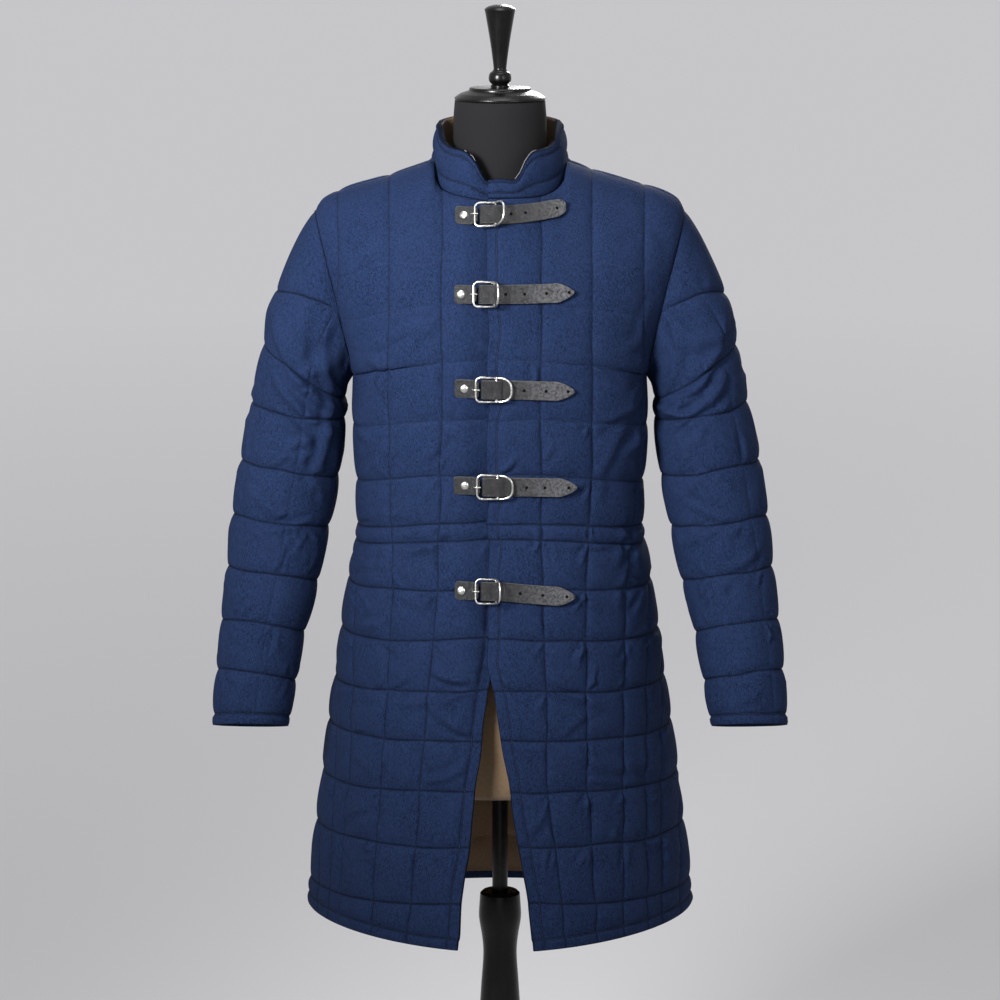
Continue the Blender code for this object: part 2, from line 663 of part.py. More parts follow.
def panel_grids(side, mirror, seams_at, band):
    """Outer and inner grids of a front or of the back; mirror is -1 for the wearer's right front."""
    outer, inner, angles_up = [], [], []
    to_neck = neck_columns([column[0] for column in column_angles(float(TOP_ROW), seams_at, band)])
    rows = mesh_rows()
    for i, (row, seam_row, plain) in enumerate(rows):
        columns = column_angles(row, seams_at, band)
        pairs = []
        for j, (angle, share, on_seam) in enumerate(columns):
            if j in to_neck:
                angle += eased(TOP_ROW - 1, TOP_ROW - 0.75, row) * (to_neck[j] - angle)
            free_edge = i == 0 or (band and j == 0)
            at_side = abs(angle) > math.pi / 2 - 1e-6
            height = 0.0 if at_side else PILLOW * row_swell(seam_row) * share
            if at_side and row >= UNDERARM_ROW:
                pairs.append(armhole_pair(side, mirror, row, angle))
            else:
                pairs.append(wall_pair(side, mirror, row, angle, EDGE_LIFT if free_edge else height))
            if row == TOP_ROW:
                angles_up.append(angle)
        outer.append([pair[0] for pair in pairs])
        inner.append([pair[1] for pair in pairs])
    plain_rows = [i for i, row in enumerate(rows) if row[2]]
    plain_columns = [j for j, column in enumerate(columns) if column[2]]
    return outer, inner, plain_rows, plain_columns, sorted(to_neck), angles_up


def top_runs(side, mirror, outer, inner, angles):
    """Points along the top edge, with more of them where it rounds the neck."""
    runs = []
    for j in range(len(angles) - 1):
        ends = [top_point(side, angle)[0] / NECK_HALF for angle in angles[j : j + 2]]
        run = [(outer[-1][j], inner[-1][j])]
        if max(abs(end) for end in ends) < 1 + 1e-6:
            start, end = (math.asin(min(max(value, -1.0), 1.0)) for value in ends)
            count = math.ceil(abs(end - start) / NECK_STEP)
            through = [outer[-1][column] - inner[-1][column] for column in (j, j + 1)]
            for k in range(1, count):
                angle = seam_angle(NECK_HALF * math.sin(start + (end - start) * k / count), float(TOP_ROW))
                edge = wall_pair(side, mirror, float(TOP_ROW), angle, 0.0)[0]
                run.append((edge, edge - through[0].lerp(through[1], k / count)))
        run.append((outer[-1][j + 1], inner[-1][j + 1]))
        runs.append(run)
    return runs


def body_panel(name, side, mirror, seams_at, band, collection):
    """Makes a front or the back, and returns the points of its neckline."""
    outer, inner, plain_rows, plain_columns, necks, angles = panel_grids(side, mirror, seams_at, band)
    top = top_runs(side, mirror, outer, inner, angles)
    wall_object(name, outer, inner, plain_rows, plain_columns, "navy", collection, top=top)
    return joined(top[: necks[0]]) if side < 0 else joined(top[necks[0] : necks[1]])


def underarm_swell(ring, column):
    """Share of the swelling left where sleeve and side press together."""
    around = min(column, SLEEVE_COLUMNS - column)
    return 1 - (1 - eased(0.2, 1.8, ring)) * (1 - eased(0.7, 2.4, around))


def sleeve(name, mirror, collection):
    """A quilted tube from the armhole to the cuff."""
    rings = []
    for ring in range(len(SLEEVE_RINGS)):
        steps = CELL_STEPS if ring else (0.0, 0.25, 0.5, 0.75)
        steps = (0.0,) if ring == CUFF_BAND else steps
        rings += [(ring + step, step == 0.0) for step in steps]
    rings.append((float(len(SLEEVE_RINGS)), True))
    down_from_shoulder = [SHOULDER_STEPS[0]] + [(1 - step, plain) for step, plain in SHOULDER_STEPS[:0:-1]]
    columns = []
    for k in range(SLEEVE_COLUMNS):
        steps = {SLEEVE_COLUMNS // 2 - 1: SHOULDER_STEPS, SLEEVE_COLUMNS // 2: down_from_shoulder}.get(k, ARM_STEPS)
        columns += [(k + step, step == 0.0, plain) for step, plain in steps]
    columns.append((float(SLEEVE_COLUMNS), True, True))
    outer, inner = [], []
    for ring, ring_seam in rings:
        line_out, line_in = [], []
        for column, column_seam, plain in columns:
            column = column % SLEEVE_COLUMNS
            base = sleeve_point(ring, column)
            normal = sleeve_normal(ring, column)
            height = 0.0 if ring_seam else SLEEVE_PILLOW * (0.25 if column_seam else 1.0)
            height *= underarm_swell(ring, column)
            if ring >= len(SLEEVE_RINGS):
                height = EDGE_LIFT
            if ring == 0:
                along = armhole_point((column + 0.05) % SLEEVE_COLUMNS) - armhole_point((column - 0.05) % SLEEVE_COLUMNS)
                away = along.cross(normal).normalized()
                base += (away if away.x > 0 else -away) * SEAM_GAP * 1.3
            top = base + normal * height
            under = base - normal * WALL
            line_out.append(Vector((top.x * mirror, top.y, top.z)))
            line_in.append(Vector((under.x * mirror, under.y, under.z)))
        outer.append(line_out)
        inner.append(line_in)
    plain_rows = [i for i, r in enumerate(rings) if r[1]]
    plain_columns = [j for j, c in enumerate(columns) if c[2]]
    wall_object(name, outer, inner, plain_rows, plain_columns, "navy", collection, tube=True)


def collar(neckline, collection):
    """A stand-up band on the neckline, cut away in front."""
    angles, heights = zip(*COLLAR_HEIGHTS)
    outer, inner = [[] for _ in COLLAR_ROWS], [[] for _ in COLLAR_ROWS]
    for k, (base, under) in enumerate(neckline):
        out = Vector((base.x, base.y + 0.010, 0.0)).normalized()
        along = neckline[min(k + 1, len(neckline) - 1)][0] - neckline[max(k - 1, 0)][0]
        away = along.cross(under - base).normalized()
        if away.dot(Vector((0.0, 0.0, 1.0)) - out) < 0:
            away = -away
        turn = math.degrees(math.atan2(abs(base.x), -base.y))
        height = straight(angles, heights, turn)
        runs_under = k < len(neckline) / 2 and base.y < 0
        tuck = COLLAR_TUCK * (1 - eased(0.012, 0.050, -base.x)) if runs_under else 0.0
        for row, (share, lift) in enumerate(COLLAR_ROWS):
            lean = COLLAR_LEAN * height * share + tuck * min(share / COLLAR_ROWS[1][0], 1.0)
            up = Vector((0.0, 0.0, height * share)) - out * lean + away * COLLAR_GAP
            outer[row].append(base + up + out * lift)
            wall = (under - base) if row == 0 else -out * COLLAR_WALL
            inner[row].append(base + up + wall)
    plain_rows = [0, 2, len(COLLAR_ROWS) - 1]
    wall_object("collar", outer, inner, plain_rows, list(range(len(neckline))), "navy", collection)


# ---------------------------------------------------------------- leather and metal
def surface_at(x, z):
    """Base surface of the fronts at a place seen from the front."""
    row = float(UNDERARM_ROW)
    for _ in range(6):
        angle = seam_angle(x, row)
        heights = [row_height(-1, float(k), angle) for k in range(TOP_ROW + 1)]
        row = straight(heights, list(range(TOP_ROW + 1)), z)
    angle = seam_angle(x, row)
    normal = body_normal(-1, row, angle)
    if angle < 0:
        normal.x = -normal.x
    return body_point(-1, row, angle) + normal * PILLOW


def way_up(z):
    """Slope of the chest under a fastening, which the whole of it shares."""
    slope = surface_at(FASTENING_MIDDLE, z + STRAP_HALF) - surface_at(FASTENING_MIDDLE, z - STRAP_HALF)
    slope.x = 0.0
    return slope.normalized()


def seat_at(x, z, up):
    """Where a strap lies on the swelling: a point under its middle and the way out."""
    beside = surface_at(x + 0.004, z) - surface_at(x - 0.004, z)
    out = beside.cross(up).normalized()
    middle = surface_at(x, z)
    rises = [(surface_at(x, z + share * STRAP_HALF * up.z) - middle).dot(out) for share in (-1, -0.5, 0, 0.5, 1)]
    lift = OVERLAP_LIFT * eased(3 * LEFT_EDGE, LEFT_EDGE, x) * (1 - eased(0.0, 0.045, x))
    return middle + out * (max(rises) + lift + SEAM_GAP), out


def ribbon(name, stations, colour, collection):
    """A flat strap from stations of (middle point, half of its thickness, half of its width), as vectors."""
    bm = bmesh.new()
    loops = []
    for middle, thick, wide in stations:
        corners = (middle - thick - wide, middle - thick + wide, middle + thick + wide, middle + thick - wide)
        loops.append([bm.verts.new(corner) for corner in corners])
    for one, two in zip(loops, loops[1:]):
        for k in range(4):
            bm.faces.new((one[k], one[(k + 1) % 4], two[(k + 1) % 4], two[k]))
    bm.faces.new(loops[0])
    bm.faces.new(loops[-1][::-1])
    return new_object(name, bm, colour, collection, smooth_angle=40)


def leather_strip(name, path, height_at, collection):
    """A strip along a path of (x, lift of its middle off the cloth, half width)."""
    up = way_up(height_at(0.0))
    seats = [seat_at(x, height_at(x), up) for x, lift, half in path]
    points = [seat[0] + seat[1] * (step[1] + STRAP_THICK / 2) for seat, step in zip(seats, path)]
    stations = []
    for k, (point, step) in enumerate(zip(points, path)):
        along = points[min(k + 1, len(points) - 1)] - points[max(k - 1, 0)]
        across = along.cross(up).normalized()
        stations.append((point, across * STRAP_THICK / 2, up * step[2]))
    ribbon(name, stations, "leather", collection)


def strap(index, fastening, collection):
    """Strap sewn on the left front, round the buckle's middle bar and back to its pointed tip."""
    height, tip_x, rise, buckle_x = fastening[:4]
    sunk = -fastening[6]
    middle_bar = buckle_x + LOOP_LENGTH
    turn = middle_bar - 0.0085
    over = BAR_HEIGHT + WIRE + CLEAR
    tail = STRAP_THICK + CLEAR + sunk
    path = [(x, sunk, STRAP_HALF) for x in (*STRAP_STATIONS[::-1], 0.010)]
    path += [
        (turn + 0.0045, 0.0, STRAP_HALF),
        (turn + 0.0016, 0.0006, STRAP_HALF),
        (turn - 0.0002, 0.0026, STRAP_HALF),
        (turn + 0.0012, 0.0052, STRAP_HALF),
        (turn + 0.0040, over, STRAP_HALF),
        (middle_bar + 0.0010, over + 0.0002, STRAP_HALF),
        (middle_bar + 0.0050, over - 0.0018, STRAP_HALF),
        (middle_bar + 0.0100, tail + 0.0004, STRAP_HALF),
    ]
    path += [(x, tail, STRAP_HALF) for x in STRAP_STATIONS]
    path += [
        (max(tip_x - STRAP_TAPER, STRAP_STATIONS[-1] + 0.003), tail, STRAP_HALF),
        (tip_x - STRAP_TAPER * 0.4, tail, STRAP_HALF * 0.62),
        (tip_x, tail, STRAP_HALF * 0.14),
    ]
    leather_strip(f"strap_{index}", path, lambda x: height + rise * max(x, 0.0) / tip_x, collection)


def tab(index, fastening, collection):
    """Tab riveted on the right front, its end turned up round the buckle's bar."""
    height, buckle_x, rivet_x, sunk = fastening[0], fastening[3], fastening[4], fastening[7]
    under_bar = BAR_HEIGHT - WIRE - STRAP_THICK - 2 * CLEAR
    bar = buckle_x + WIRE
    beyond = bar + WIRE + STRAP_THICK / 2 + CLEAR
    path = [
        (TAB_LEFT, -sunk, TAB_HALF * 0.72),
        (TAB_LEFT + 0.0035, -sunk, TAB_HALF),
        (rivet_x + 0.0060, -sunk, TAB_HALF),
        (bar - 0.0030, under_bar, TAB_HALF),
        (bar + 0.0008, under_bar, TAB_HALF * 0.84),
        (beyond - 0.0006, under_bar + 0.0012, TAB_HALF * 0.8),
        (beyond + 0.0002, under_bar + 0.0034, TAB_HALF * 0.76),
    ]
    leather_strip(f"tab_{index}", path, lambda x: height, collection)


def wire(name, points, radius, cyclic, collection):
    """A bent wire along a run of points."""
    curve = bpy.data.curves.new(name, "CURVE")
    curve.dimensions = "3D"
    curve.bevel_depth = radius
    curve.bevel_resolution = 1
    curve.use_fill_caps = True
    spline = curve.splines.new("POLY")
    spline.points.add(len(points) - 1)
    for target, point in zip(spline.points, points):
        target.co = (*point, 1.0)
    spline.use_cyclic_u = cyclic
    curve_object = bpy.data.objects.new(name + "_path", curve)
    collection.objects.link(curve_object)
    bpy.context.view_layer.update()
    graph = bpy.context.evaluated_depsgraph_get()
    mesh = bpy.data.meshes.new_from_object(curve_object.evaluated_get(graph))
    bm = bmesh.new()
    bm.from_mesh(mesh)
    bmesh.ops.remove_doubles(bm, verts=bm.verts, dist=0.00001)
    bpy.data.objects.remove(curve_object)
    bpy.data.meshes.remove(mesh)
    return new_object(name, bm, "nickel", collection, smooth_angle=40)


def buckle(index, fastening, collection, cutters):
    """Double-loop buckle: a rounded square, and a round loop that tips up from its middle bar."""
    height, buckle_x, tip_up = fastening[0], fastening[3], math.radians(fastening[5])
    up = way_up(height)
    seat, out = seat_at(buckle_x + LOOP_LENGTH / 2, height, up)
    along = up.cross(out).normalized()
    if along.x < 0:
        along = -along
    at_bar = seat + along * LOOP_LENGTH / 2 + out * BAR_HEIGHT

    def place(a, b, rise=0.0):
        return at_bar + along * a + up * b + out * rise

    square = []
    length = LOOP_LENGTH - WIRE
    for middle_b, start in ((LOOP_HALF - LOOP_CORNER, 90), (-LOOP_HALF + LOOP_CORNER, 180)):
        for step in range(4):
            turn = math.radians(start + step * 30)
            a = -length + LOOP_CORNER * (1 + math.cos(turn))
            square.append(place(a, middle_b + LOOP_CORNER * math.sin(turn)))
    square += [place(0.0, -LOOP_HALF + 0.0008), place(0.0, 0.0), place(0.0, LOOP_HALF - 0.0008)]
    frame = wire(f"buckle_{index}", square, WIRE, True, collection)

    loop = []
    for step in range(9):
        turn = math.radians(-90 + step * 22.5)
        a = ROUND_REACH * power(math.cos(turn), ROUND_SQUARENESS)
        b = LOOP_HALF * 0.98 * power(math.sin(turn), ROUND_SQUARENESS)
        loop.append(place(a * math.cos(tip_up), b, a * math.sin(tip_up)))
    cutter = wire(f"loop_{index}", loop, WIRE * 0.97, False, cutters)
    cutter.hide_render = True
    cutter.display_type = "WIRE"
    union = frame.modifiers.new("Round loop", "BOOLEAN")
    union.operation = "UNION"
    union.object = cutter


def prong(index, fastening, collection):
    """Short pin over the buckle's left bar, its point against the strap."""
    height, buckle_x = fastening[0], fastening[3]
    points = []
    for a, lift in PRONG_PATH:
        seat, out = seat_at(buckle_x + WIRE + a, height, way_up(height))
        points.append(seat + out * (BAR_HEIGHT + lift))
    wire(f"prong_{index}", points, PRONG_RADIUS, False, collection)


def rivet(index, fastening, collection):
    """Domed rivet through the tab."""
    height, rivet_x, sunk = fastening[0], fastening[4], fastening[7]
    seat, out = seat_at(rivet_x, height, way_up(height))
    bm = bmesh.new()
    bmesh.ops.create_cone(
        bm, cap_ends=True, segments=14, radius1=RIVET_RADIUS, radius2=RIVET_RADIUS * 0.55, depth=RIVET_HEIGHT
    )
    turn = Vector((0.0, 0.0, 1.0)).rotation_difference(out)
    bmesh.ops.rotate(bm, verts=bm.verts, cent=(0.0, 0.0, 0.0), matrix=turn.to_matrix())
    bmesh.ops.translate(bm, verts=bm.verts, vec=seat + out * (STRAP_THICK + SEAM_GAP + RIVET_HEIGHT / 2 - sunk))
    new_object(f"rivet_{index}", bm, "nickel", collection)


# ---------------------------------------------------------------- dress form and stand
def torso_form(collection):
    """Smooth limbless torso that carries the coat."""
    bm = bmesh.new()
    loops = []
    for side_z, front_z, half_width, middle_y, half_depth, squareness in FORM_SECTIONS:
        exponent = 2 / squareness
        loop = []
        for k in range(FORM_SEGMENTS):
            turn = 2 * math.pi * k / FORM_SEGMENTS
            x = half_width * power(math.cos(turn), exponent)
            y = middle_y + half_depth * power(math.sin(turn), exponent)
            loop.append(bm.verts.new((x, y, front_z + (side_z - front_z) * math.cos(turn) ** 2)))
        loops.append(loop)
    for one, two in zip(loops, loops[1:]):
        for k in range(FORM_SEGMENTS):
            n = (k + 1) % FORM_SEGMENTS
            bm.faces.new((one[k], one[n], two[n], two[k]))
    bm.faces.new(loops[0])
    bm.faces.new(loops[-1])
    new_object("form_torso", bm, "linen", collection, smooth_angle=40)


def turned(name, profile, colour, collection, steps=TURNED_STEPS):
    """A turned piece from a profile of (radius, height), bottom first."""
    mesh = bpy.data.meshes.new(name)
    bm = bmesh.new()
    points = [(0.0, profile[-1][1]), *profile[::-1], (0.0, profile[0][1])]
    verts = [bm.verts.new((radius, 0.0, height)) for radius, height in points]
    for one, two in zip(verts, verts[1:]):
        bm.edges.new((one, two))
    bm.to_mesh(mesh)
    bm.free()
    obj = bpy.data.objects.new(name, mesh)
    collection.objects.link(obj)
    screw = obj.modifiers.new("Turned", "SCREW")
    screw.steps = steps
    screw.render_steps = steps
    screw.use_merge_vertices = True
    screw.merge_threshold = 0.0001
    screw.use_smooth_shade = True
    paint(obj, colour)
    return obj


def stand(collection):
    turned("form_neck", NECK_PROFILE, "jersey", collection)
    turned("neck_cap", CAP_PROFILE, "black_wood", collection)
    turned("finial", FINIAL_PROFILE, "black_wood", collection)
    turned("pole", ((POLE_RADIUS, COLUMN_TOP), (POLE_RADIUS, POLE_TOP)), "black_wood", collection)
    turned("column", COLUMN_PROFILE, "black_wood", collection)
    turned("base", BASE_PROFILE, "black_wood", collection, BASE_STEPS)


# ---------------------------------------------------------------- assembly
def clear_scene():
    for obj in list(bpy.data.objects):
        bpy.data.objects.remove(obj, do_unlink=True)


def main():
    clear_scene()
    parts = bpy.data.collections.new("Gambeson")
    cutters = bpy.data.collections.new("Cutters")
    bpy.context.scene.collection.children.link(parts)
    bpy.context.scene.collection.children.link(cutters)

    left_neck = body_panel(
        "front_left", -1, 1, lambda z: front_seams(z, left_front_edge(z), LEFT_SEAMS), 1, parts
    )
    right_neck = body_panel(
        "front_right", -1, -1, lambda z: front_seams(z, right_front_edge(z), RIGHT_SEAMS), 1, parts
    )
    back_neck = body_panel("back", 1, 1, back_seams, 0, parts)
    collar(right_neck + back_neck[1:-1] + left_neck[::-1], parts)
    sleeve("sleeve_left", 1, parts)
    sleeve("sleeve_right", -1, parts)

    for index, fastening in enumerate(FASTENINGS, start=1):
        strap(index, fastening, parts)
        tab(index, fastening, parts)
        buckle(index, fastening, parts, cutters)
        prong(index, fastening, parts)
        rivet(index, fastening, parts)

    torso_form(parts)
    stand(parts)


main()
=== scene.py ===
import math

import bmesh
import bpy
import numpy as np
from mathutils import Matrix, Vector


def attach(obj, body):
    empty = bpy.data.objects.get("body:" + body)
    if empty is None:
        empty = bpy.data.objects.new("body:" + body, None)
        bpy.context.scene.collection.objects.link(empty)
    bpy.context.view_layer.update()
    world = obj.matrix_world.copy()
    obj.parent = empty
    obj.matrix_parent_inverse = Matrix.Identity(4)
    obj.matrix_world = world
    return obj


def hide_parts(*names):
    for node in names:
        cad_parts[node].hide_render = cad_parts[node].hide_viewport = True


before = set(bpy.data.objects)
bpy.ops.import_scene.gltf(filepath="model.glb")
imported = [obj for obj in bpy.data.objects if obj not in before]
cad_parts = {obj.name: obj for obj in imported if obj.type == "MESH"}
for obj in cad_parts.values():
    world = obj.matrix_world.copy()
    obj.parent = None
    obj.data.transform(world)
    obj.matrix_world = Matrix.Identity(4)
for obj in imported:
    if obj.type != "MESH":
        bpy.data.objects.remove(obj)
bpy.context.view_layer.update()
quarter = math.pi / 2

# What the whole coat shares: wall, padding and seams, in metres.
cloth = {
    "wall": 0.0035,  # from the base surface in to the lining
    "pillow": 0.0055,  # swelling of a full cell
    "edgeLift": 0.0012,
    "edgeBand": 0.0135,  # from a free edge to its topstitching
    "fullCell": 0.045,  # a narrower cell swells less
    "grid": 0.0028,
    "gather": 0.6,  # how much closer the mesh lies beside a seam
    "pinch": 0.0034,  # how fast the padding rises from a seam
    "pucker": 0.001,
    "waver": 0.002,  # how far a seam strays from its line
    "sag": 0.001,  # uneven filling
}
seamGap = 0.0003

# Body from the hem up: height, half width, y of the widest point, front y, back y, squareness.
bodySections = (
    (0.502, 0.252, 0.072, -0.189, 0.182, 1.75),
    (0.6, 0.2405, 0.06, -0.174, 0.17, 1.8),
    (0.7, 0.228, 0.05, -0.163, 0.16, 1.85),
    (0.8, 0.214, 0.038, -0.156, 0.15, 1.95),
    (0.888, 0.2015, 0.028, -0.149, 0.142, 2.05),
    (0.95, 0.192, 0.018, -0.143, 0.132, 2.15),
    (1.01, 0.182, 0.01, -0.136, 0.12, 2.25),
    (1.08, 0.181, 0.004, -0.137, 0.12, 2.35),
    (1.145, 0.185, 0.0, -0.143, 0.126, 2.4),
    (1.215, 0.185, 0.0, -0.147, 0.134, 2.4),
    (1.3, 0.185, 0.0, -0.147, 0.134, 2.4),
)
# Quilting rows: height at the side, rise at centre front and back, depth of the seam.
quiltRows = (
    (0.502, 0.0, 0.0, 0.75),  # the hem edge is turned, so it is fuller than a seam
    (0.516, 0.0, 0.0, 1.0),
    (0.537, 0.029, 0.024, 1.0),
    (0.61, 0.026, 0.022, 1.0),
    (0.68, 0.024, 0.02, 1.0),
    (0.748, 0.02, 0.018, 1.0),
    (0.808, 0.024, 0.018, 1.0),
    (0.874, 0.023, 0.016, 1.0),
    (0.94, 0.02, 0.014, 1.0),
    (0.998, 0.024, 0.012, 1.0),
    (1.018, 0.023, 0.012, 1.0),
    (1.077, 0.026, 0.012, 0.9),
    (1.149, 0.025, 0.012, 0.75),
    (1.215, 0.032, 0.014, 0.55),
    (1.289, 0.029, 0.014, 0.4),
    (1.343, 0.035, 0.014, 0.24),
)
rowTable = np.array(quiltRows)
rowTable[3:9, :2] += (0.006, -0.006)  # the skirt's rows slant down to the front edge
waistRow, underarmRow, topRow = 10, 13, len(quiltRows)

# Upright seams: distance from the middle at these heights, which runs off at the side seam.
seamLevels = (0.502, 0.7, 0.94, 1.04, 1.2)
leftSeams = (
    (0.083, 0.06, 0.0525, 0.0505, 0.0505),
    (0.124, 0.11, 0.1076, 0.113, 0.115),
    (0.158, 0.155, 0.158, 0.17, 0.181),
    (0.19, 0.184, 0.188, 0.2, 0.25),
    (0.209, 0.205, 0.205, 0.25, 0.25),
    (0.233, 0.23, 0.25, 0.25, 0.25),
)
rightSeams = (
    (0.118, 0.1, 0.079, 0.0735, 0.0725),
    (0.165, 0.15, 0.134, 0.136, 0.139),
    (0.208, 0.192, 0.182, 0.19, 0.204),
    (0.222, 0.211, 0.205, 0.25, 0.25),
    (0.237, 0.228, 0.25, 0.25, 0.25),
)
fronts = {
    "leftEdge": -0.015, "leftOpensAt": 0.852, "leftSwing": 0.165,
    "rightEdge": 0.016, "rightHemEdge": -0.054, "rightSwing": 0.125,
    "underlap": 0.01, "overlap": 0.002, "centreBack": -0.011,
}
yoke = {
    "neckHalf": 0.0865, "neckSideZ": 1.481, "neckFrontY": -0.1, "neckDrop": 0.037,
    "neckBackY": 0.072, "neckBackRise": 0.01, "neckY": 0.004, "hollow": 0.55,
    "chestY": -0.147, "chestTopY": -0.117, "upperBackY": 0.134, "upperBackTopY": 0.098,
    "armX": 0.233, "chestX": 0.185, "armFront": 0.062, "armBack": 0.068, "armSquare": 2.6,
    "rounding": 2.2, "flattening": 0.26, "square": 2.4, "topCell": 0.098, "topDepth": 0.3,
}
shoulderLine = (
    (0.0865, 1.481), (0.119, 1.47), (0.16, 1.4575), (0.195, 1.4475), (0.222, 1.4345), (0.233, 1.42),
)

# Sleeve rings from the shoulder down: inner x, z, outer x, z, middle y, half depth, forward tilt.
sleeveRings = (
    (0.197, 1.197, 0.283, 1.316, 0.002, 0.072, 0.0),
    (0.198, 1.181, 0.2985, 1.25, 0.002, 0.072, 0.0),
    (0.1985, 1.156, 0.3135, 1.177, 0.0, 0.07, 0.0),
    (0.207, 1.083, 0.3285, 1.103, -0.004, 0.068, 3.0),
    (0.22, 1.017, 0.3395, 1.032, -0.01, 0.065, 6.0),
    (0.2345, 0.947, 0.3465, 0.966, -0.02, 0.061, 9.0),
    (0.251, 0.884, 0.354, 0.9, -0.034, 0.057, 12.0),
    (0.262, 0.823, 0.3595, 0.837, -0.05, 0.053, 14.0),
    (0.269, 0.779, 0.364, 0.781, -0.064, 0.0485, 15.0),
    (0.271, 0.767, 0.3655, 0.768, -0.067, 0.0475, 15.0),
)
sleeveColumns, lastRing = 6, len(sleeveRings)


def curveThrough(table, column, at):
    # cubic curve through one column of a table keyed by its first
    rows = np.array(table, float)
    keys, values = rows[:, 0], rows[:, column]
    at = np.clip(at, keys[0], keys[-1])
    k = np.clip(np.searchsorted(keys, at, "right") - 1, 0, len(keys) - 2)

    def slope(i):
        low, high = np.maximum(i - 1, 0), np.minimum(i + 1, len(keys) - 1)
        return (values[high] - values[low]) / (keys[high] - keys[low])

    span = keys[k + 1] - keys[k]
    t = (at - keys[k]) / span
    ends = values[k] * (2 * t**3 - 3 * t**2 + 1) + values[k + 1] * (3 * t**2 - 2 * t**3)
    return ends + span * (slope(k) * (t**3 - 2 * t**2 + t) + slope(k + 1) * (t**3 - t**2))


def eased(low, high, value):
    t = np.clip((value - low) / (high - low), 0.0, 1.0)
    return t * t * (3 - 2 * t)


def signedPower(value, exponent):
    return np.sign(value) * np.abs(value) ** exponent


def unit(vectors):
    return vectors / np.maximum(np.linalg.norm(vectors, axis=-1, keepdims=True), 1e-12)


def points(x, y, z):
    return np.stack(np.broadcast_arrays(x, y, z), axis=-1)


def ripples(u, v, seed):
    # smooth noise from -1 to 1, one bump to each unit
    values = np.random.default_rng(seed).uniform(-1, 1, (97, 89))
    u, v = np.broadcast_arrays(np.asarray(u, float), np.asarray(v, float))
    i, j = np.floor(u).astype(int), np.floor(v).astype(int)
    s, t = u - i, v - j
    s, t = s * s * (3 - 2 * s), t * t * (3 - 2 * t)

    def corner(a, b):
        return values[(i + a) % 97, (j + b) % 89]

    low = corner(0, 0) * (1 - s) + corner(1, 0) * s
    return low * (1 - t) + (corner(0, 1) * (1 - s) + corner(1, 1) * s) * t


def wrapAt(row):
    return 1 - yoke["flattening"] * eased(underarmRow, underarmRow + 0.8, row)


def sectionShares(angle, row, square):
    wrap, exponent = wrapAt(row), 2 / square
    endAcross = np.sin(wrap * quarter) ** exponent
    endForward = np.maximum(np.cos(wrap * quarter), 0.0) ** exponent
    forward = (np.abs(np.cos(wrap * angle)) ** exponent - endForward) / (1 - endForward)
    return signedPower(np.sin(wrap * angle), exponent) / endAcross, forward


def topPoint(side, angle):
    # neckline or shoulder seam; side is -1 in front and 1 behind
    x = yoke["armX"] * sectionShares(angle, topRow, yoke["square"])[0]
    share = (np.abs(x) - yoke["neckHalf"]) / (yoke["armX"] - yoke["neckHalf"])
    roundNeck = np.sqrt(np.maximum(1 - (x / yoke["neckHalf"]) ** 2, 0.0))
    if side < 0:
        neckY = yoke["neckY"] + (yoke["neckFrontY"] - yoke["neckY"]) * roundNeck
        neckZ = yoke["neckSideZ"] - yoke["neckDrop"] * (1 - (1 - roundNeck) ** 2)
    else:
        neckY = yoke["neckY"] + (yoke["neckBackY"] - yoke["neckY"]) * roundNeck
        neckZ = yoke["neckSideZ"] + yoke["neckBackRise"] * roundNeck
    onShoulder = np.abs(x) >= yoke["neckHalf"]
    shoulderZ = curveThrough(shoulderLine, 1, np.abs(x))
    return x, np.where(onShoulder, yoke["neckY"] * (1 - share), neckY), np.where(onShoulder, shoulderZ, neckZ)


def rowHeight(side, row, angle):
    row = np.asarray(row, float)
    rise = rowTable[:, 1 if side < 0 else 2]
    skirt = (1 - eased(8.0, 10.0, row)) if side < 0 else 0.0
    middle = np.abs(np.cos(angle)) ** 1.6 * (1 - skirt) + (1 - np.abs(np.sin(angle)) ** 1.3) * skirt
    low = np.clip(np.floor(row).astype(int), 0, topRow - 1)
    above = np.minimum(low + 1, topRow - 1)
    start = rowTable[low, 0] + rise[low] * middle
    end = np.where(low + 1 == topRow, topPoint(side, angle)[2], rowTable[above, 0] + rise[above] * middle)
    return start + (row - low) * (end - start)


def bodyPoint(side, row, angle):
    row, angle = np.broadcast_arrays(np.asarray(row, float), np.asarray(angle, float))
    z = rowHeight(side, row, angle)
    across, forward = sectionShares(angle, row, curveThrough(bodySections, 5, z))
    widest = curveThrough(bodySections, 2, z)
    middleY = curveThrough(bodySections, 3 if side < 0 else 4, z)
    lower = points(curveThrough(bodySections, 1, z) * across, widest + (middleY - widest) * forward, z)
    low = rowHeight(side, np.full(row.shape, float(underarmRow)), angle)
    top = topPoint(side, angle)
    t = np.clip((z - low) / (top[2] - low), 0.0, 1.0)
    edgeX = yoke["chestX"] + (yoke["armX"] - yoke["chestX"]) * t**1.15
    depth = -yoke["armFront"] if side < 0 else yoke["armBack"]
    edgeY = depth * np.sqrt(np.maximum(1 - np.abs(2 * t - 1) ** yoke["armSquare"], 0.0))
    startY, endY = yoke["chestY"], yoke["chestTopY"]
    if side > 0:
        startY, endY = yoke["upperBackY"], yoke["upperBackTopY"]
    across, forward = sectionShares(angle, row, yoke["square"])
    over = 1 - (1 - t ** yoke["rounding"]) ** (1 / yoke["rounding"])
    y = edgeY + (startY + (endY - startY) * t**2 - edgeY) * forward + (top[1] - endY * forward) * over
    return np.where((row <= underarmRow)[..., None], lower, points(edgeX * across, y, z))


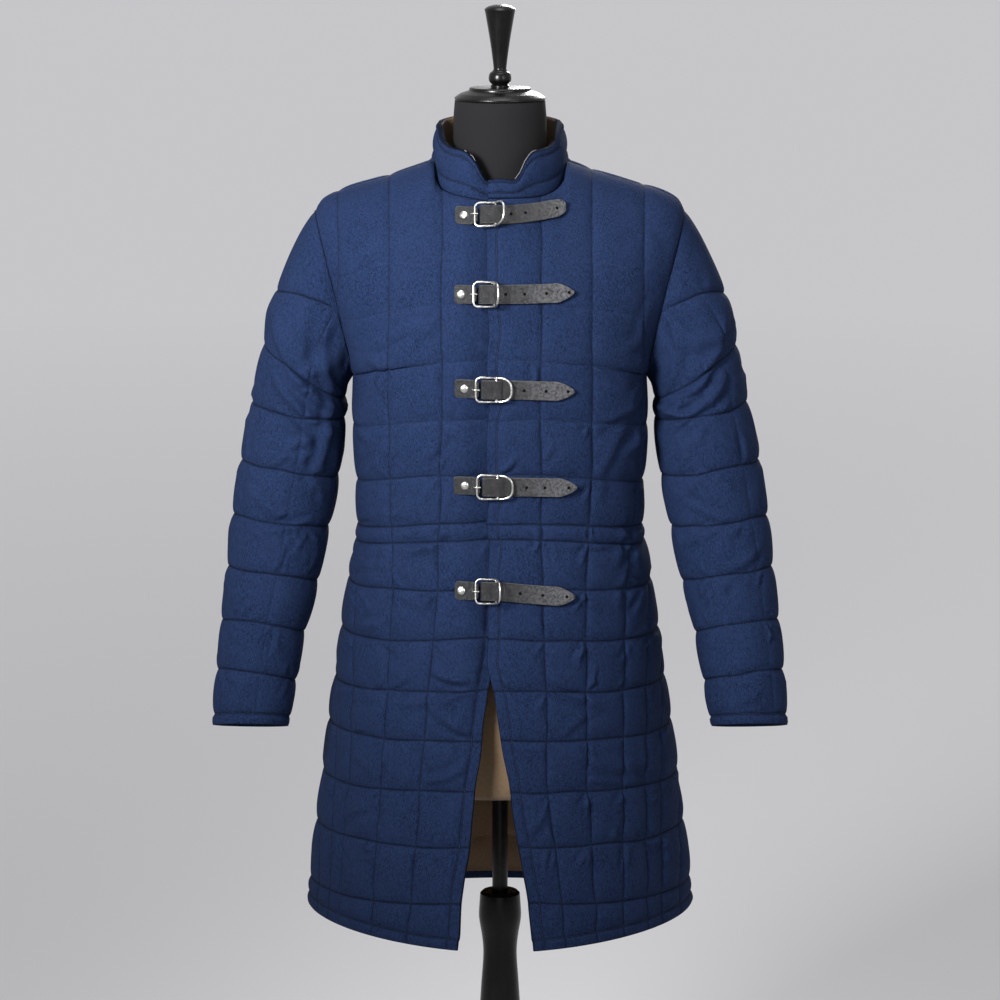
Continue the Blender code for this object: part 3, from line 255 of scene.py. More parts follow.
def surfaceNormal(pointAt, u, v, uTop, vTop, centre):
    step = 0.01
    du = pointAt(np.minimum(u + step, uTop), v) - pointAt(np.maximum(u - step, 0.0), v)
    dv = pointAt(u, np.minimum(v + step, vTop)) - pointAt(u, v - step)
    normal = unit(np.cross(du, dv))
    facing = np.sum(normal * (pointAt(u, v) - centre), axis=-1, keepdims=True)
    return np.where(facing > 0, normal, -normal)


def bodyNormal(side, row, angle):
    # outward; front and back share it on the side and shoulder seams
    row, angle = np.broadcast_arrays(np.asarray(row, float), np.asarray(angle, float))
    turned = angle < 0
    angle = np.minimum(np.abs(angle), quarter)
    level = np.minimum(row, topRow - 0.4)
    centre = points(0.0, 0.01, rowHeight(side, level, angle) - 0.05)

    def one(which):
        normal = surfaceNormal(lambda r, a: bodyPoint(which, r, a), level, angle, topRow, quarter, centre)
        if which < 0:
            x = bodyPoint(which, level, angle)[..., 0]
            beside = eased(0.03, 0.06, x) * (1 - eased(0.08, 0.115, x))
            normal[..., 0] -= yoke["hollow"] * beside * eased(topRow - 1, topRow - 0.25, level)
        return unit(normal)

    sideSeam = (angle > quarter - 1e-6) & (row <= underarmRow)
    shoulderSeam = (row >= topRow) & (np.abs(topPoint(side, angle)[0]) >= yoke["neckHalf"] - 1e-6)
    normal = np.where((sideSeam | shoulderSeam)[..., None], unit(one(-1) + one(1)), one(side))
    normal[..., 0] = np.where(turned, -normal[..., 0], normal[..., 0])
    return normal


def seamAngle(distance, row):
    # angle round the body of a distance from the middle, as seen from the front
    share = np.minimum(np.abs(distance) / bodyPoint(-1, row, quarter)[..., 0], 1.0)
    square = curveThrough(bodySections, 5, rowHeight(-1, row, quarter))
    wrap = wrapAt(row)
    turn = np.arcsin(np.clip(share ** (square / 2) * np.sin(wrap * quarter), -1, 1)) / wrap
    return np.where(share >= 1.0, quarter, turn) * np.where(np.asarray(distance) < 0, -1.0, 1.0)


def armholePoint(column):
    column = np.mod(column, sleeveColumns)
    front = bodyPoint(-1, np.minimum(underarmRow + column, topRow), quarter)
    back = bodyPoint(1, np.minimum(underarmRow + sleeveColumns - column, topRow), quarter)
    return np.where((column <= sleeveColumns / 2)[..., None], front, back)


def ringPoint(ring, column):
    if ring == 0:
        return armholePoint(column)
    innerX, innerZ, outerX, outerZ, middleY, depth, tilt = sleeveRings[ring - 1]
    turn = 2 * math.pi * column / sleeveColumns
    tilt = math.radians(tilt)
    middle = np.array(((innerX + outerX) / 2, middleY, (innerZ + outerZ) / 2))
    across = np.array(((outerX - innerX) / 2, 0.0, (outerZ - innerZ) / 2))
    forward = np.array((0.0, -math.cos(tilt), math.sin(tilt))) * depth
    return middle - across * np.cos(turn)[..., None] + forward * np.sin(turn)[..., None]


def sleevePoint(ring, column):
    ring, column = np.broadcast_arrays(np.asarray(ring, float), np.asarray(column, float))
    rings = np.stack([ringPoint(k, column) for k in range(lastRing + 1)])
    low = np.clip(np.floor(ring).astype(int), 0, lastRing - 1)

    def pick(k):
        return np.take_along_axis(rings, np.clip(k, 0, lastRing)[None, ..., None], axis=0)[0]

    before, start, end, after = pick(low - 1), pick(low), pick(low + 1), pick(low + 2)
    t = (ring - low)[..., None]
    ends = start * (2 * t**3 - 3 * t**2 + 1) + end * (3 * t**2 - 2 * t**3)
    return ends + (end - before) / 2 * (t**3 - 2 * t**2 + t) + (after - start) / 2 * (t**3 - t**2)


def sleeveNormal(ring, column):
    ring, column = np.broadcast_arrays(np.asarray(ring, float), np.asarray(column, float))
    middle = (sleevePoint(ring, np.zeros(ring.shape)) + sleevePoint(ring, np.full(ring.shape, 3.0))) / 2
    normal = surfaceNormal(sleevePoint, ring, column, lastRing, sleeveColumns * 2, middle)
    around = np.mod(column, sleeveColumns)
    row = underarmRow + np.minimum(around, sleeveColumns - around)
    body = np.where((around <= 3)[..., None], bodyNormal(-1, row, quarter), bodyNormal(1, row, quarter))
    return np.where((ring <= 0)[..., None], unit(normal + body), normal)


print("forms ready")


class Wiring:
    # short ways to add and join the nodes of a material or a node group
    def __init__(self, tree):
        self.tree = tree
        self.shader = tree.nodes.get("Principled BSDF")

    def put(self, socket, value):
        # a number, a vector, a colour or the output of another node
        if isinstance(value, bpy.types.NodeSocket):
            self.tree.links.new(value, socket)
        else:
            socket.default_value = (*value, 1.0) if socket.type == "RGBA" else value

    def add(self, kind, inputs, **fields):
        node = self.tree.nodes.new("ShaderNode" + kind)
        for key, value in fields.items():
            setattr(node, key, value)
        for key, value in inputs.items():
            self.put(node.inputs[key], value)
        return node

    def place(self, **mapping):
        # the object's own coordinates, stretched or turned by a mapping
        place = self.add("TexCoord", {}).outputs["Object"]
        return self.add("Mapping", {"Vector": place, **mapping}).outputs["Vector"] if mapping else place

    def attribute(self, name):
        return self.add("Attribute", {}, attribute_name=name).outputs["Fac"]

    def noise(self, coords, scale, detail=2.0, roughness=0.5):
        inputs = {"Vector": coords, "Scale": scale, "Detail": detail, "Roughness": roughness}
        return self.add("TexNoise", inputs).outputs["Fac"]

    def maths(self, operation, one, two=0.0, three=0.0):
        return self.add("Math", {0: one, 1: two, 2: three}, operation=operation).outputs[0]

    def times(self, one, two, plus=None):
        if plus is None:
            return self.maths("MULTIPLY", one, two)
        return self.maths("MULTIPLY_ADD", one, two, plus)

    def mixed(self, share, one, two):
        return self.add("Mix", {0: share, 6: one, 7: two}, data_type="RGBA").outputs[2]

    def ramp(self, source, *stops):
        node = self.add("ValToRGB", {"Fac": source})
        elements = node.color_ramp.elements
        while len(elements) < len(stops):
            elements.new(0.5)
        for element, (place, shade) in zip(elements, stops):
            element.position = place
            element.color = (*shade, 1.0) if hasattr(shade, "__len__") else (shade, shade, shade, 1.0)
        return node.outputs["Color"]

    def group(self, tree, inputs):
        return self.add("Group", inputs, node_tree=tree).outputs

    def surface(self, height, strength, distance, **sockets):
        # bump from a height, and values or outputs for the shader's own sockets
        bump = self.add("Bump", {"Height": height, "Strength": strength, "Distance": distance})
        self.put(self.shader.inputs["Normal"], bump.outputs["Normal"])
        for key, value in sockets.items():
            self.put(self.shader.inputs[key.replace("_", " ")], value)


def newGroup(name, inputs, outputs):
    tree = bpy.data.node_groups.new(name, "ShaderNodeTree")
    for label, (kind, value) in inputs.items():
        made = tree.interface.new_socket(name=label, in_out="INPUT", socket_type="NodeSocket" + kind)
        made.default_value = value
    for label, kind in outputs.items():
        tree.interface.new_socket(name=label, in_out="OUTPUT", socket_type="NodeSocket" + kind)
    given = tree.nodes.new("NodeGroupInput").outputs
    return Wiring(tree), given, tree.nodes.new("NodeGroupOutput").inputs


def newFinish(name):
    material = bpy.data.materials.new(name)
    material.use_nodes = True
    return material, Wiring(material.node_tree)


def feltGroup():
    # blended wool: flecks of several shades, soft cloudiness and a fuzzy height
    shades = {label: ("Color", (0, 0, 0, 1)) for label in ("Deep", "Middle", "Fleck")}
    felt, given, out = newGroup("woolFelt", {**shades, "Fleck Share": ("Float", 0.5)},
                                {"Color": "Color", "Height": "Float", "Cloud": "Float"})
    place, stretched = felt.place(), felt.place(Scale=(1.0, 1.0, 0.45))
    fine = felt.noise(stretched, 950.0, 3.0, 0.65)
    hair = felt.noise(place, 1500.0, 1.0)
    melange = felt.noise(stretched, 540.0, 2.0, 0.75)
    grain = felt.times(melange, 0.75, felt.times(fine, 0.25))
    body = felt.mixed(felt.ramp(grain, (0.38, 0.0), (0.6, 1.0)), given["Deep"], given["Middle"])
    share = felt.times(felt.ramp(hair, (0.54, 0.0), (0.66, 1.0)), given["Fleck Share"])
    felt.put(out["Color"], felt.mixed(share, body, given["Fleck"]))
    felt.put(out["Height"], felt.times(hair, 0.3, felt.times(fine, 0.7)))
    felt.put(out["Cloud"], felt.noise(place, 26.0, 3.0, 0.55))
    return felt.tree


def weaveGroup():
    # plain weave on given lengths across and down
    weave, given, out = newGroup("plainWeave", {"Vector": ("Vector", (0, 0, 0)), "Threads": ("Float", 900.0)},
                                 {"Height": "Float", "Slub": "Float"})
    split = weave.add("SeparateXYZ", {0: given["Vector"]}).outputs
    turns = [weave.times(weave.times(split[axis], given["Threads"]), math.pi) for axis in (0, 1)]
    warp, weft = (weave.maths("SINE", turn) for turn in turns)
    weave.put(out["Height"], weave.maths("ABSOLUTE", weave.times(warp, weft)))
    weave.put(out["Slub"], weave.noise(given["Vector"], 300.0))
    return weave.tree


def wearGroup():
    # dust and rubbing: broad patches broken up by a fine grain
    usual = {"Broad": ("Float", 30.0), "Fine": ("Float", 400.0), "Amount": ("Float", 0.5)}
    wear, given, out = newGroup("wornPatches", usual, {"Mask": "Float"})
    place = wear.place()
    patches = wear.ramp(wear.noise(place, given["Broad"], 3.0), (0.42, 0.0), (0.68, 1.0))
    grains = wear.ramp(wear.noise(place, given["Fine"]), (0.4, 0.0), (0.62, 1.0))
    wear.put(out["Mask"], wear.times(wear.times(patches, grains), given["Amount"]))
    return wear.tree


feltTree, weaveTree, wearTree = feltGroup(), weaveGroup(), wearGroup()


def woolFinish():
    felt = {
        "Deep": (0.0024, 0.0052, 0.016), "Middle": (0.008, 0.017, 0.051), "Fleck": (0.022, 0.038, 0.095),
        "Fleck Share": 0.6,
    }
    # the seam colour is painted shade: the cloth darkens towards each seam as if shaded in its groove, fading
    # out over the reach
    looks = {"paintedSeamShade": (0.0008, 0.0018, 0.0055), "rubbed": (0.0105, 0.02, 0.056), "reach": 0.012}
    material, wool = newFinish("navyWool")
    made = wool.group(feltTree, felt)
    # painted shade along the seams, darkest on the seam line itself
    toSeam = wool.maths("DIVIDE", wool.attribute("seam"), looks["reach"])
    paintedSeamShade = wool.ramp(toSeam, (0.0, 1.0), (0.06, 0.6), (0.18, 0.0))
    clouded = wool.mixed(wool.ramp(made["Cloud"], (0.35, 0.0), (0.7, 0.35)), made["Color"], looks["rubbed"])
    colour = wool.mixed(wool.times(paintedSeamShade, 0.85), clouded, looks["paintedSeamShade"])
    wool.surface(made["Height"], 0.9, 0.0012, Base_Color=colour, Roughness=0.9, Specular_IOR_Level=0.06)
    return material


def liningFinish():
    looks = {"light": (0.15, 0.088, 0.042), "dark": (0.05, 0.028, 0.014), "threads": 1100.0}
    material, lining = newFinish("brownLining")
    lengths = lining.add("CombineXYZ", {0: lining.attribute("across"), 1: lining.attribute("down")})
    made = lining.group(weaveTree, {"Threads": looks["threads"], "Vector": lengths.outputs[0]})
    shade = lining.times(made["Slub"], 0.8, lining.times(made["Height"], 0.4))
    colour = lining.mixed(shade, looks["dark"], looks["light"])
    lining.surface(made["Height"], 0.35, 0.0004, Base_Color=colour, Roughness=0.82, Sheen_Weight=0.1)
    return material


def fibreFinish(name, looks):
    # twisted thread or cord, and the dark painted shade inside the strap holes: one noise for its two shades
    # and its bump
    material, fibre = newFinish(name)
    twist = fibre.noise(fibre.place(), looks["scale"], looks["detail"])
    colour = fibre.mixed(twist, looks["dark"], looks["light"])
    fibre.surface(twist, looks["bump"], looks["distance"], Base_Color=colour, Roughness=looks["roughness"],
                  Specular_IOR_Level=looks["specular"])
    return material


fibreLooks = {
    "navyThread": {
        "dark": (0.004, 0.01, 0.032), "light": (0.009, 0.022, 0.066), "scale": 1800.0, "detail": 1.0,
        "roughness": 0.6, "specular": 0.5, "bump": 0.4, "distance": 0.0003,
    },
    "paleCord": {
        "dark": (0.07, 0.07, 0.078), "light": (0.17, 0.165, 0.16), "scale": 1600.0, "detail": 1.0,
        "roughness": 0.8, "specular": 0.5, "bump": 0.3, "distance": 0.0002,
    },
    # painted shade: the nearly black disc in each strap hole stands for the shade inside the hole
    "paintedHoleShade": {
        "dark": (0.0015, 0.0015, 0.0015), "light": (0.006, 0.0055, 0.005), "scale": 1500.0, "detail": 2.0,
        "roughness": 0.9, "specular": 0.05, "bump": 0.2, "distance": 0.0002,
    },
}


def leatherFinish():
    looks = {
        "deep": (0.0065, 0.0068, 0.0078), "light": (0.015, 0.0155, 0.0175), "worn": (0.085, 0.086, 0.092),
        "fringe": (0.085, 0.076, 0.07), "wear": {"Broad": 90.0, "Fine": 700.0, "Amount": 0.45},
    }
    material, hide = newFinish("darkLeather")
    place = hide.place()
    pebbles = {"Vector": place, "Scale": 900.0, "Randomness": 1.0}
    cells = hide.add("TexVoronoi", pebbles, feature="DISTANCE_TO_EDGE").outputs["Distance"]
    grain = hide.ramp(cells, (0.0, 0.0), (0.25, 1.0))
    mottle = hide.noise(place, 300.0, 4.0, 0.7)
    body = hide.mixed(hide.ramp(mottle, (0.35, 0.0), (0.68, 1.0)), looks["deep"], looks["light"])
    pale = hide.times(hide.attribute("pale"), hide.ramp(mottle, (0.38, 0.1), (0.6, 0.95)))
    share = hide.maths("MAXIMUM", hide.times(hide.group(wearTree, looks["wear"])["Mask"], 0.5), pale)
    edge = hide.times(hide.ramp(hide.attribute("edge"), (0.55, 0.0), (1.0, 0.8)), 0.55)
    colour = hide.mixed(edge, hide.mixed(share, body, looks["worn"]), looks["fringe"])
    hide.surface(hide.times(mottle, 0.8, grain), 0.7, 0.0006, Base_Color=colour, Specular_IOR_Level=0.28,
                 Roughness=hide.ramp(mottle, (0.3, 0.34), (0.7, 0.52)))
    return material


def nickelFinish():
    looks = {"bright": (0.66, 0.65, 0.62), "dull": (0.34, 0.32, 0.29)}
    material, nickel = newFinish("nickelWire")
    worn = nickel.group(wearTree, {"Broad": 160.0, "Fine": 1500.0, "Amount": 0.6})["Mask"]
    haze = nickel.noise(nickel.place(), 420.0, 3.0)
    colour = nickel.mixed(worn, looks["bright"], looks["dull"])
    nickel.surface(haze, 0.06, 0.0003, Base_Color=colour, Metallic=1.0,
                   Roughness=nickel.ramp(haze, (0.3, 0.2), (0.7, 0.36)))
    return material


def jerseyFinish():
    looks = {"dark": (0.0025, 0.0024, 0.0028), "light": (0.0085, 0.0082, 0.0095), "ribs": 260}
    material, jersey = newFinish("charcoalJersey")
    place = jersey.place()
    turned = jersey.add("TexGradient", {"Vector": place}, gradient_type="RADIAL").outputs["Fac"]
    ribs = jersey.maths("SINE", jersey.times(turned, 2 * math.pi * looks["ribs"]))
    fuzz = jersey.noise(place, 1400.0)
    jersey.surface(jersey.times(ribs, 0.3, fuzz), 0.4, 0.0004, Roughness=0.9, Specular_IOR_Level=0.2,
                   Base_Color=jersey.mixed(fuzz, looks["dark"], looks["light"]))
    return material


def formLinenFinish():
    looks = {"light": (0.21, 0.138, 0.078), "dark": (0.12, 0.076, 0.042), "dust": (0.075, 0.048, 0.027)}
    material, linen = newFinish("formLinen")
    made = linen.group(weaveTree, {"Threads": 950.0, "Vector": linen.place(Rotation=(quarter, 0.0, 0.0))})
    shade = linen.times(made["Slub"], 0.7, linen.times(made["Height"], 0.5))
    dusty = linen.group(wearTree, {"Broad": 14.0, "Fine": 220.0, "Amount": 0.4})["Mask"]
    colour = linen.mixed(dusty, linen.mixed(shade, looks["dark"], looks["light"]), looks["dust"])
    linen.surface(made["Height"], 0.4, 0.0004, Base_Color=colour, Roughness=0.9, Sheen_Weight=0.15)
    return material


def lacquerFinish():
    # turned wood under black gloss, with fine dust on it
    looks = {"dark": (0.0012, 0.0011, 0.0011), "light": (0.003, 0.0028, 0.0026), "dust": (0.012, 0.011, 0.01)}
    material, lacquer = newFinish("blackLacquer")
    grain = lacquer.noise(lacquer.place(Scale=(1.0, 1.0, 0.12)), 260.0, 4.0, 0.6)
    dusty = lacquer.group(wearTree, {"Broad": 60.0, "Fine": 1300.0, "Amount": 0.3})["Mask"]
    colour = lacquer.mixed(dusty, lacquer.mixed(grain, looks["dark"], looks["light"]), looks["dust"])
    lacquer.surface(grain, 0.05, 0.0005, Base_Color=colour, Specular_IOR_Level=0.22,
                    Roughness=lacquer.ramp(grain, (0.3, 0.22), (0.75, 0.32)))
    return material


def poleFinish():
    looks = {"paint": (0.006, 0.006, 0.006), "worn": (0.045, 0.042, 0.04)}
    material, pole = newFinish("paintedPole")
    peel = pole.noise(pole.place(), 700.0)
    worn = pole.group(wearTree, {"Broad": 80.0, "Fine": 900.0, "Amount": 0.35})["Mask"]
    pole.surface(peel, 0.12, 0.0003, Base_Color=pole.mixed(worn, looks["paint"], looks["worn"]),
                 Specular_IOR_Level=0.25, Roughness=pole.ramp(peel, (0.3, 0.3), (0.7, 0.45)))
    return material


navyWool, brownLining, darkLeather, nickelWire = woolFinish(), liningFinish(), leatherFinish(), nickelFinish()
charcoalJersey, formLinen = jerseyFinish(), formLinenFinish()
blackLacquer, paintedPole = lacquerFinish(), poleFinish()
navyThread, paleCord, paintedHoleShade = (fibreFinish(name, looks) for name, looks in fibreLooks.items())
print("finishes ready")


def newPiece(name, bm, material, slot, *nodes):
    bmesh.ops.recalc_face_normals(bm, faces=bm.faces)
    mesh = bpy.data.meshes.new(name)
    bm.to_mesh(mesh)
    bm.free()
    mesh.shade_smooth()
    obj = bpy.data.objects.new(name, mesh)
    bpy.context.scene.collection.objects.link(obj)
    for each in (material, brownLining) if material == navyWool else (material,):
        mesh.materials.append(each)
    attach(obj, "root")
    if nodes:
        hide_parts(*nodes)
    return obj


def addTo(bm, fresh):
    # adds a small mesh to a larger one
    carried = bpy.data.meshes.new("carried")
    fresh.to_mesh(carried)
    fresh.free()
    bm.from_mesh(carried)
    bpy.data.meshes.remove(carried)


def bridged(bm, rings):
    # faces between rings of edges, and over both ends
    for one, two in zip(rings, rings[1:]):
        bmesh.ops.bridge_loops(bm, edges=one + two)
    bmesh.ops.contextual_create(bm, geom=rings[0])
    bmesh.ops.contextual_create(bm, geom=rings[-1])


def newRing(bm, places):
    # a closed ring of edges through the given places
    made = bmesh.ops.create_circle(bm, cap_ends=False, segments=len(places), radius=1.0)["verts"]
    for vert, place in zip(made, places):
        vert.co = place
    return made, list({edge for vert in made for edge in vert.link_edges})


def layGrid(bm, placed, facts, side):
    # a grid whose corners are moved to the given places, rows by columns
    rows, columns = placed.shape[:2]
    made = bmesh.ops.create_grid(bm, x_segments=columns - 1, y_segments=rows - 1, size=1.0)["verts"]
    for vert, point in zip(made, placed.reshape(-1, 3)):
        vert.co = point
    for key, values in facts.items():
        layer = bm.verts.layers.float[key]
        for vert, value in zip(made, values.reshape(-1)):
            vert[layer] = value
    for face in {face for vert in made for face in vert.link_faces}:
        face.material_index = side
    return made


def wall(name, grid, node):
    # outer cloth, a lining on every second line of it, and a strip along each edge between them
    outer, inner, facts = grid["outer"], grid["inner"], grid["facts"]
    bm = bmesh.new()
    for key in facts:
        bm.verts.layers.float.new(key)
    layGrid(bm, outer, facts, 0)
    lining = layGrid(bm, inner[::2, ::2], {key: values[::2, ::2] for key, values in facts.items()}, 1)
    rows, columns = inner[::2, ::2].shape[:2]
    for k, vert in enumerate(lining):  # the outer cloth is turned up inside along the hem and cuffs
        if k // columns in [step % rows for step in grid["turned"]]:
            for face in vert.link_faces:
                face.material_index = 0
    edges = [(0, slice(None)), (-1, slice(None))]
    if not grid["tube"]:
        edges += [(slice(None), 0), (slice(None), -1)]
    for edge in edges:
        behind = (np.arange(len(outer[edge])) + 1) // 2 * 2
        behind = np.minimum(behind, len(outer[edge]) - 1)
        shared = {key: np.stack([values[edge], values[edge][behind]]) for key, values in facts.items()}
        layGrid(bm, np.stack([outer[edge], inner[edge][behind]]), shared, 0)
    bmesh.ops.remove_doubles(bm, verts=bm.verts, dist=0.00002)
    print(name, len(bm.faces), "faces,", sum(not edge.is_manifold for edge in bm.edges), "edges not closed")
    return newPiece(name, bm, navyWool, "quilted_cloth", node)


def cellSteps(sizes, grid=cloth["grid"]):
    # places along a run of cells, an even number in each, closer together beside the seams
    found = [0.0]
    for k, size in enumerate(sizes):
        count = max(2, 2 * round(size / grid / 2))
        u = np.arange(1, count + 1) / count
        found += list(k + u - cloth["gather"] * np.sin(2 * math.pi * u) / (2 * math.pi))
    found = np.array(found)
    return np.where(np.abs(found - np.round(found)) < 1e-9, np.round(found), found)


def runLengths(places):
    # length from the first place of a run to each
    return np.concatenate([[0.0], np.cumsum(np.linalg.norm(np.diff(places, axis=0), axis=1))])


def lengthsAlong(placed, steps, axis):
    # length from each seam line, to the seam before and to the one after, and the cell's size
    gaps = np.linalg.norm(np.diff(placed, axis=axis), axis=-1)
    start = np.zeros_like(gaps.take([0], axis=axis))
    total = np.concatenate([start, np.cumsum(gaps, axis=axis)], axis=axis)
    lines = np.searchsorted(steps, np.arange(int(steps[-1]) + 1) - 1e-9)
    cell = np.clip(np.floor(steps + 1e-9).astype(int), 0, len(lines) - 2)
    before, after = total.take(lines[cell], axis=axis), total.take(lines[cell + 1], axis=axis)
    return total, total - before, after - total, after - before, cell


def puff(distance, depth, pinch):
    return 1 - depth * (0.6 * np.exp(-distance / pinch) + 0.4 * np.exp(-distance / (3 * pinch)))


def arched(share, depthLow, depthHigh):
    # swelling across a cell from 0 at its lower seam to 1 at its upper one, fullest just under the middle
    bulge = np.sin(math.pi * np.clip(share, 0, 1) ** 0.85) ** 0.8
    keep = 1 - (depthLow * (1 - share) + depthHigh * share)
    return bulge + (1 - bulge) * keep


def creased(u, v, creases, gain):
    # folds, each from one place to another: u, v, u, v, sideways bow, half width, height
    height = np.zeros(u.shape)
    for startU, startV, endU, endV, bow, width, tall in creases:
        lengthU, lengthV = endU - startU, endV - startV
        length = math.hypot(lengthU, lengthV)
        along = ((u - startU) * lengthU + (v - startV) * lengthV) / length**2
        off = ((u - startU) * lengthV - (v - startV) * lengthU) / length
        d = (off - bow * 4 * along * (1 - along)) / width
        fade = eased(-0.08, 0.3, along) * (1 - eased(0.7, 1.08, along))
        height += gain * tall * fade * (np.exp(-(d**2)) - 0.65 * np.exp(-((d - 1.5) ** 2)))
    return height


def crossingCreases(base, columns, mirror, seed):
    # short gathers that start where seams cross and run off into the cell below or above
    chance = np.random.default_rng(seed)
    found = []
    for row in range(3, 14):
        i = int(np.searchsorted(bodyRows, row - 1e-9))
        for column in range(1, int(columns[-1])):
            x, y, z = base[i, int(np.searchsorted(columns, column - 1e-9))]
            for _ in range(2):
                if chance.uniform() < 0.25:
                    continue
                turn = math.radians(chance.choice((-90, -90, 90)) + chance.uniform(-55, 55))
                length = chance.uniform(0.014, 0.036)
                start = (x * mirror + chance.uniform(-0.009, 0.009), z + 0.004 * math.sin(turn))
                end = (start[0] + length * math.cos(turn), start[1] + length * math.sin(turn))
                bow, width = chance.uniform(-0.004, 0.004), chance.uniform(0.0022, 0.004)
                found.append((*start, *end, bow, width, chance.uniform(0.0012, 0.0028)))
    return found


def looseFolds(low, high, count, seed):
    # longer soft folds scattered over a panel, mostly lying across it
    chance = np.random.default_rng(seed)
    found = []
    for _ in range(count):
        x, z = chance.uniform(low[0], high[0]), chance.uniform(low[1], high[1])
        turn = math.radians(chance.choice((-35, 20, 35, 70)) + chance.uniform(-20, 20))
        length = chance.uniform(0.03, 0.08)
        end = (x + length * math.cos(turn), z + length * math.sin(turn))
        bow, width = chance.uniform(-0.008, 0.008), chance.uniform(0.004, 0.007)
        found.append((x, z, *end, bow, width, chance.uniform(0.0009, 0.002)))
    return found


padding = {
    "lowPinch": 1.5, "highPinch": 0.8,  # the filling sinks, so a cell is rounder above its lower seam
    "arch": 0.38, "uneven": 0.13, "sideFade": 0.9, "rowReach": 0.007, "columnReach": 0.0055,
    # rowFaint and columnFaint move a shallow seam's distance outward, so it gets fainter painted seam shade
    # and folds come closer to it
    "stitched": 0.0012, "pleat": 0.0062, "uprightPleat": 0.007, "pleatRun": 0.03, "rowFaint": 0.004,
    "columnFaint": 0.0034,
}


def quilted(base, rows, columns, rowDepths, columnDepths, pillow, seed):
    # height of the padding over a grid of cells, with the cloth's lengths and its distance to a seam
    down, low, high, tall, rowCell = lengthsAlong(base, rows, 0)
    across, left, right, wide, columnCell = lengthsAlong(base, columns, 1)
    lowDepth, highDepth = rowDepths[rowCell], rowDepths[rowCell + 1]
    rowCell, columnCell = rowCell[:, None], columnCell[None, :]
    rising = puff(low, lowDepth, cloth["pinch"] * padding["lowPinch"])
    rising = rising * puff(high, highDepth, cloth["pinch"] * padding["highPinch"])
    arch = arched(low / np.maximum(tall, 1e-6), lowDepth, highDepth)
    rising = (1 - padding["arch"]) * rising + padding["arch"] * rising**0.5 * arch
    columnDepths = np.broadcast_to(columnDepths, (len(rows), columnDepths.shape[1]))
    pick = np.broadcast_to(columnCell, across.shape)
    leftDepth, rightDepth = (np.take_along_axis(columnDepths, pick + k, axis=1) for k in (0, 1))
    # softer upright seams on the chest
    pinch = cloth["pinch"] * (1 + padding["sideFade"] * eased(waistRow + 1.0, underarmRow, rowCell))
    sides = puff(left, leftDepth, pinch) * puff(right, rightDepth, pinch)
    uneven = np.random.default_rng(seed).uniform(-padding["uneven"], padding["uneven"], (64, 64))
    uneven = uneven[rowCell, columnCell]
    full = rising * sides
    height = pillow * np.minimum(wide / cloth["fullCell"], 1.0) * full * (1 + uneven * full)
    toRow, toColumn = np.minimum(low, high), np.minimum(left, right)
    rowDepth = np.where(low < high, lowDepth, highDepth)
    columnDepth = np.where(left < right, leftDepth, rightDepth)
    nearRow = np.exp(-toRow / padding["rowReach"]) * (1 - np.exp(-toRow / padding["stitched"]))
    nearColumn = np.exp(-toColumn / padding["columnReach"]) * (1 - np.exp(-toColumn / padding["stitched"]))
    pleatAt = across / padding["pleat"] + (low < high) * 40.0
    pleats = ripples(pleatAt, rowCell + down / padding["pleatRun"], seed + 1) * nearRow * sides
    pleatAt = down / padding["uprightPleat"] + (left < right) * 40.0
    upright = ripples(pleatAt, columnCell + across / padding["pleatRun"], seed + 2) * nearColumn * rising
    height += cloth["pucker"] * (pleats * rowDepth + 0.5 * upright * columnDepth)
    soft = ripples(across / 0.06, down / 0.055, seed + 3)
    soft = soft + 0.5 * ripples(across / 0.024, down / 0.028, seed + 4)
    height += cloth["sag"] * soft * full
    # distance to the nearest seam, greater where a seam is shallow; the wool paints shade in the seams from
    # it, and the folds fade near it
    rowAway = toRow + padding["rowFaint"] * (1 - rowDepth)
    columnAway = toColumn + padding["columnFaint"] * (1 - columnDepth)
    return height, {"across": across, "down": down, "seam": np.minimum(rowAway, columnAway)}


cellHeights = [above[0] - below[0] for below, above in zip(quiltRows, quiltRows[1:])] + [yoke["topCell"]]
bodyRows = cellSteps(cellHeights)
rowDepths = np.array([row[3] for row in quiltRows] + [yoke["topDepth"]])[:, None]
panelLooks = {
    # depth of the upright seams in the skirt of each side and on the chest, and how much one varies
    "leftSkirt": 0.9, "rightSkirt": 0.86, "chest": 0.88, "varies": 0.1, "frontEdge": (0.72, 0.95),
    "foldsFrom": 0.46, "waist": 1.02, "foldsTo": 1.4, "frontFolds": (0.02, 0.21), "backFolds": (-0.2, 0.2),
    "foldGain": 1.5, "underarm": 0.35, "liningSwell": 0.5, "formEnds": (0.6, 0.67),
}
# Folds of the lining inside the skirt, in the same columns as the other folds of the body.
liningCreases = (
    (-0.03, 0.625, 0.035, 0.56, 0.004, 0.006, 0.0026),
    (-0.05, 0.56, 0.005, 0.535, -0.004, 0.005, 0.0024),
    (0.04, 0.61, 0.005, 0.53, 0.005, 0.005, 0.0022),
    (-0.12, 0.6, -0.06, 0.54, 0.006, 0.007, 0.0026),
    (0.07, 0.615, 0.13, 0.545, -0.006, 0.007, 0.0026),
)


def neckColumns(angle):
    # moves one column to each point where shoulder seam and neckline meet
    neckAngle = float(seamAngle(yoke["neckHalf"], float(topRow)))
    necks = []
    for target in (-neckAngle, neckAngle):
        j = int(np.argmin(np.abs(angle[-1] - target)))
        if abs(angle[-1, j] - target) < 0.1:
            necks.append(j)
            near = np.maximum(1 - np.abs(np.arange(angle.shape[1]) - j) / 6, 0.0)
            near = eased(topRow - 1, topRow - 0.75, bodyRows[:, None]) * (target - angle[-1, j]) * near
            angle = angle + near
    return angle, necks


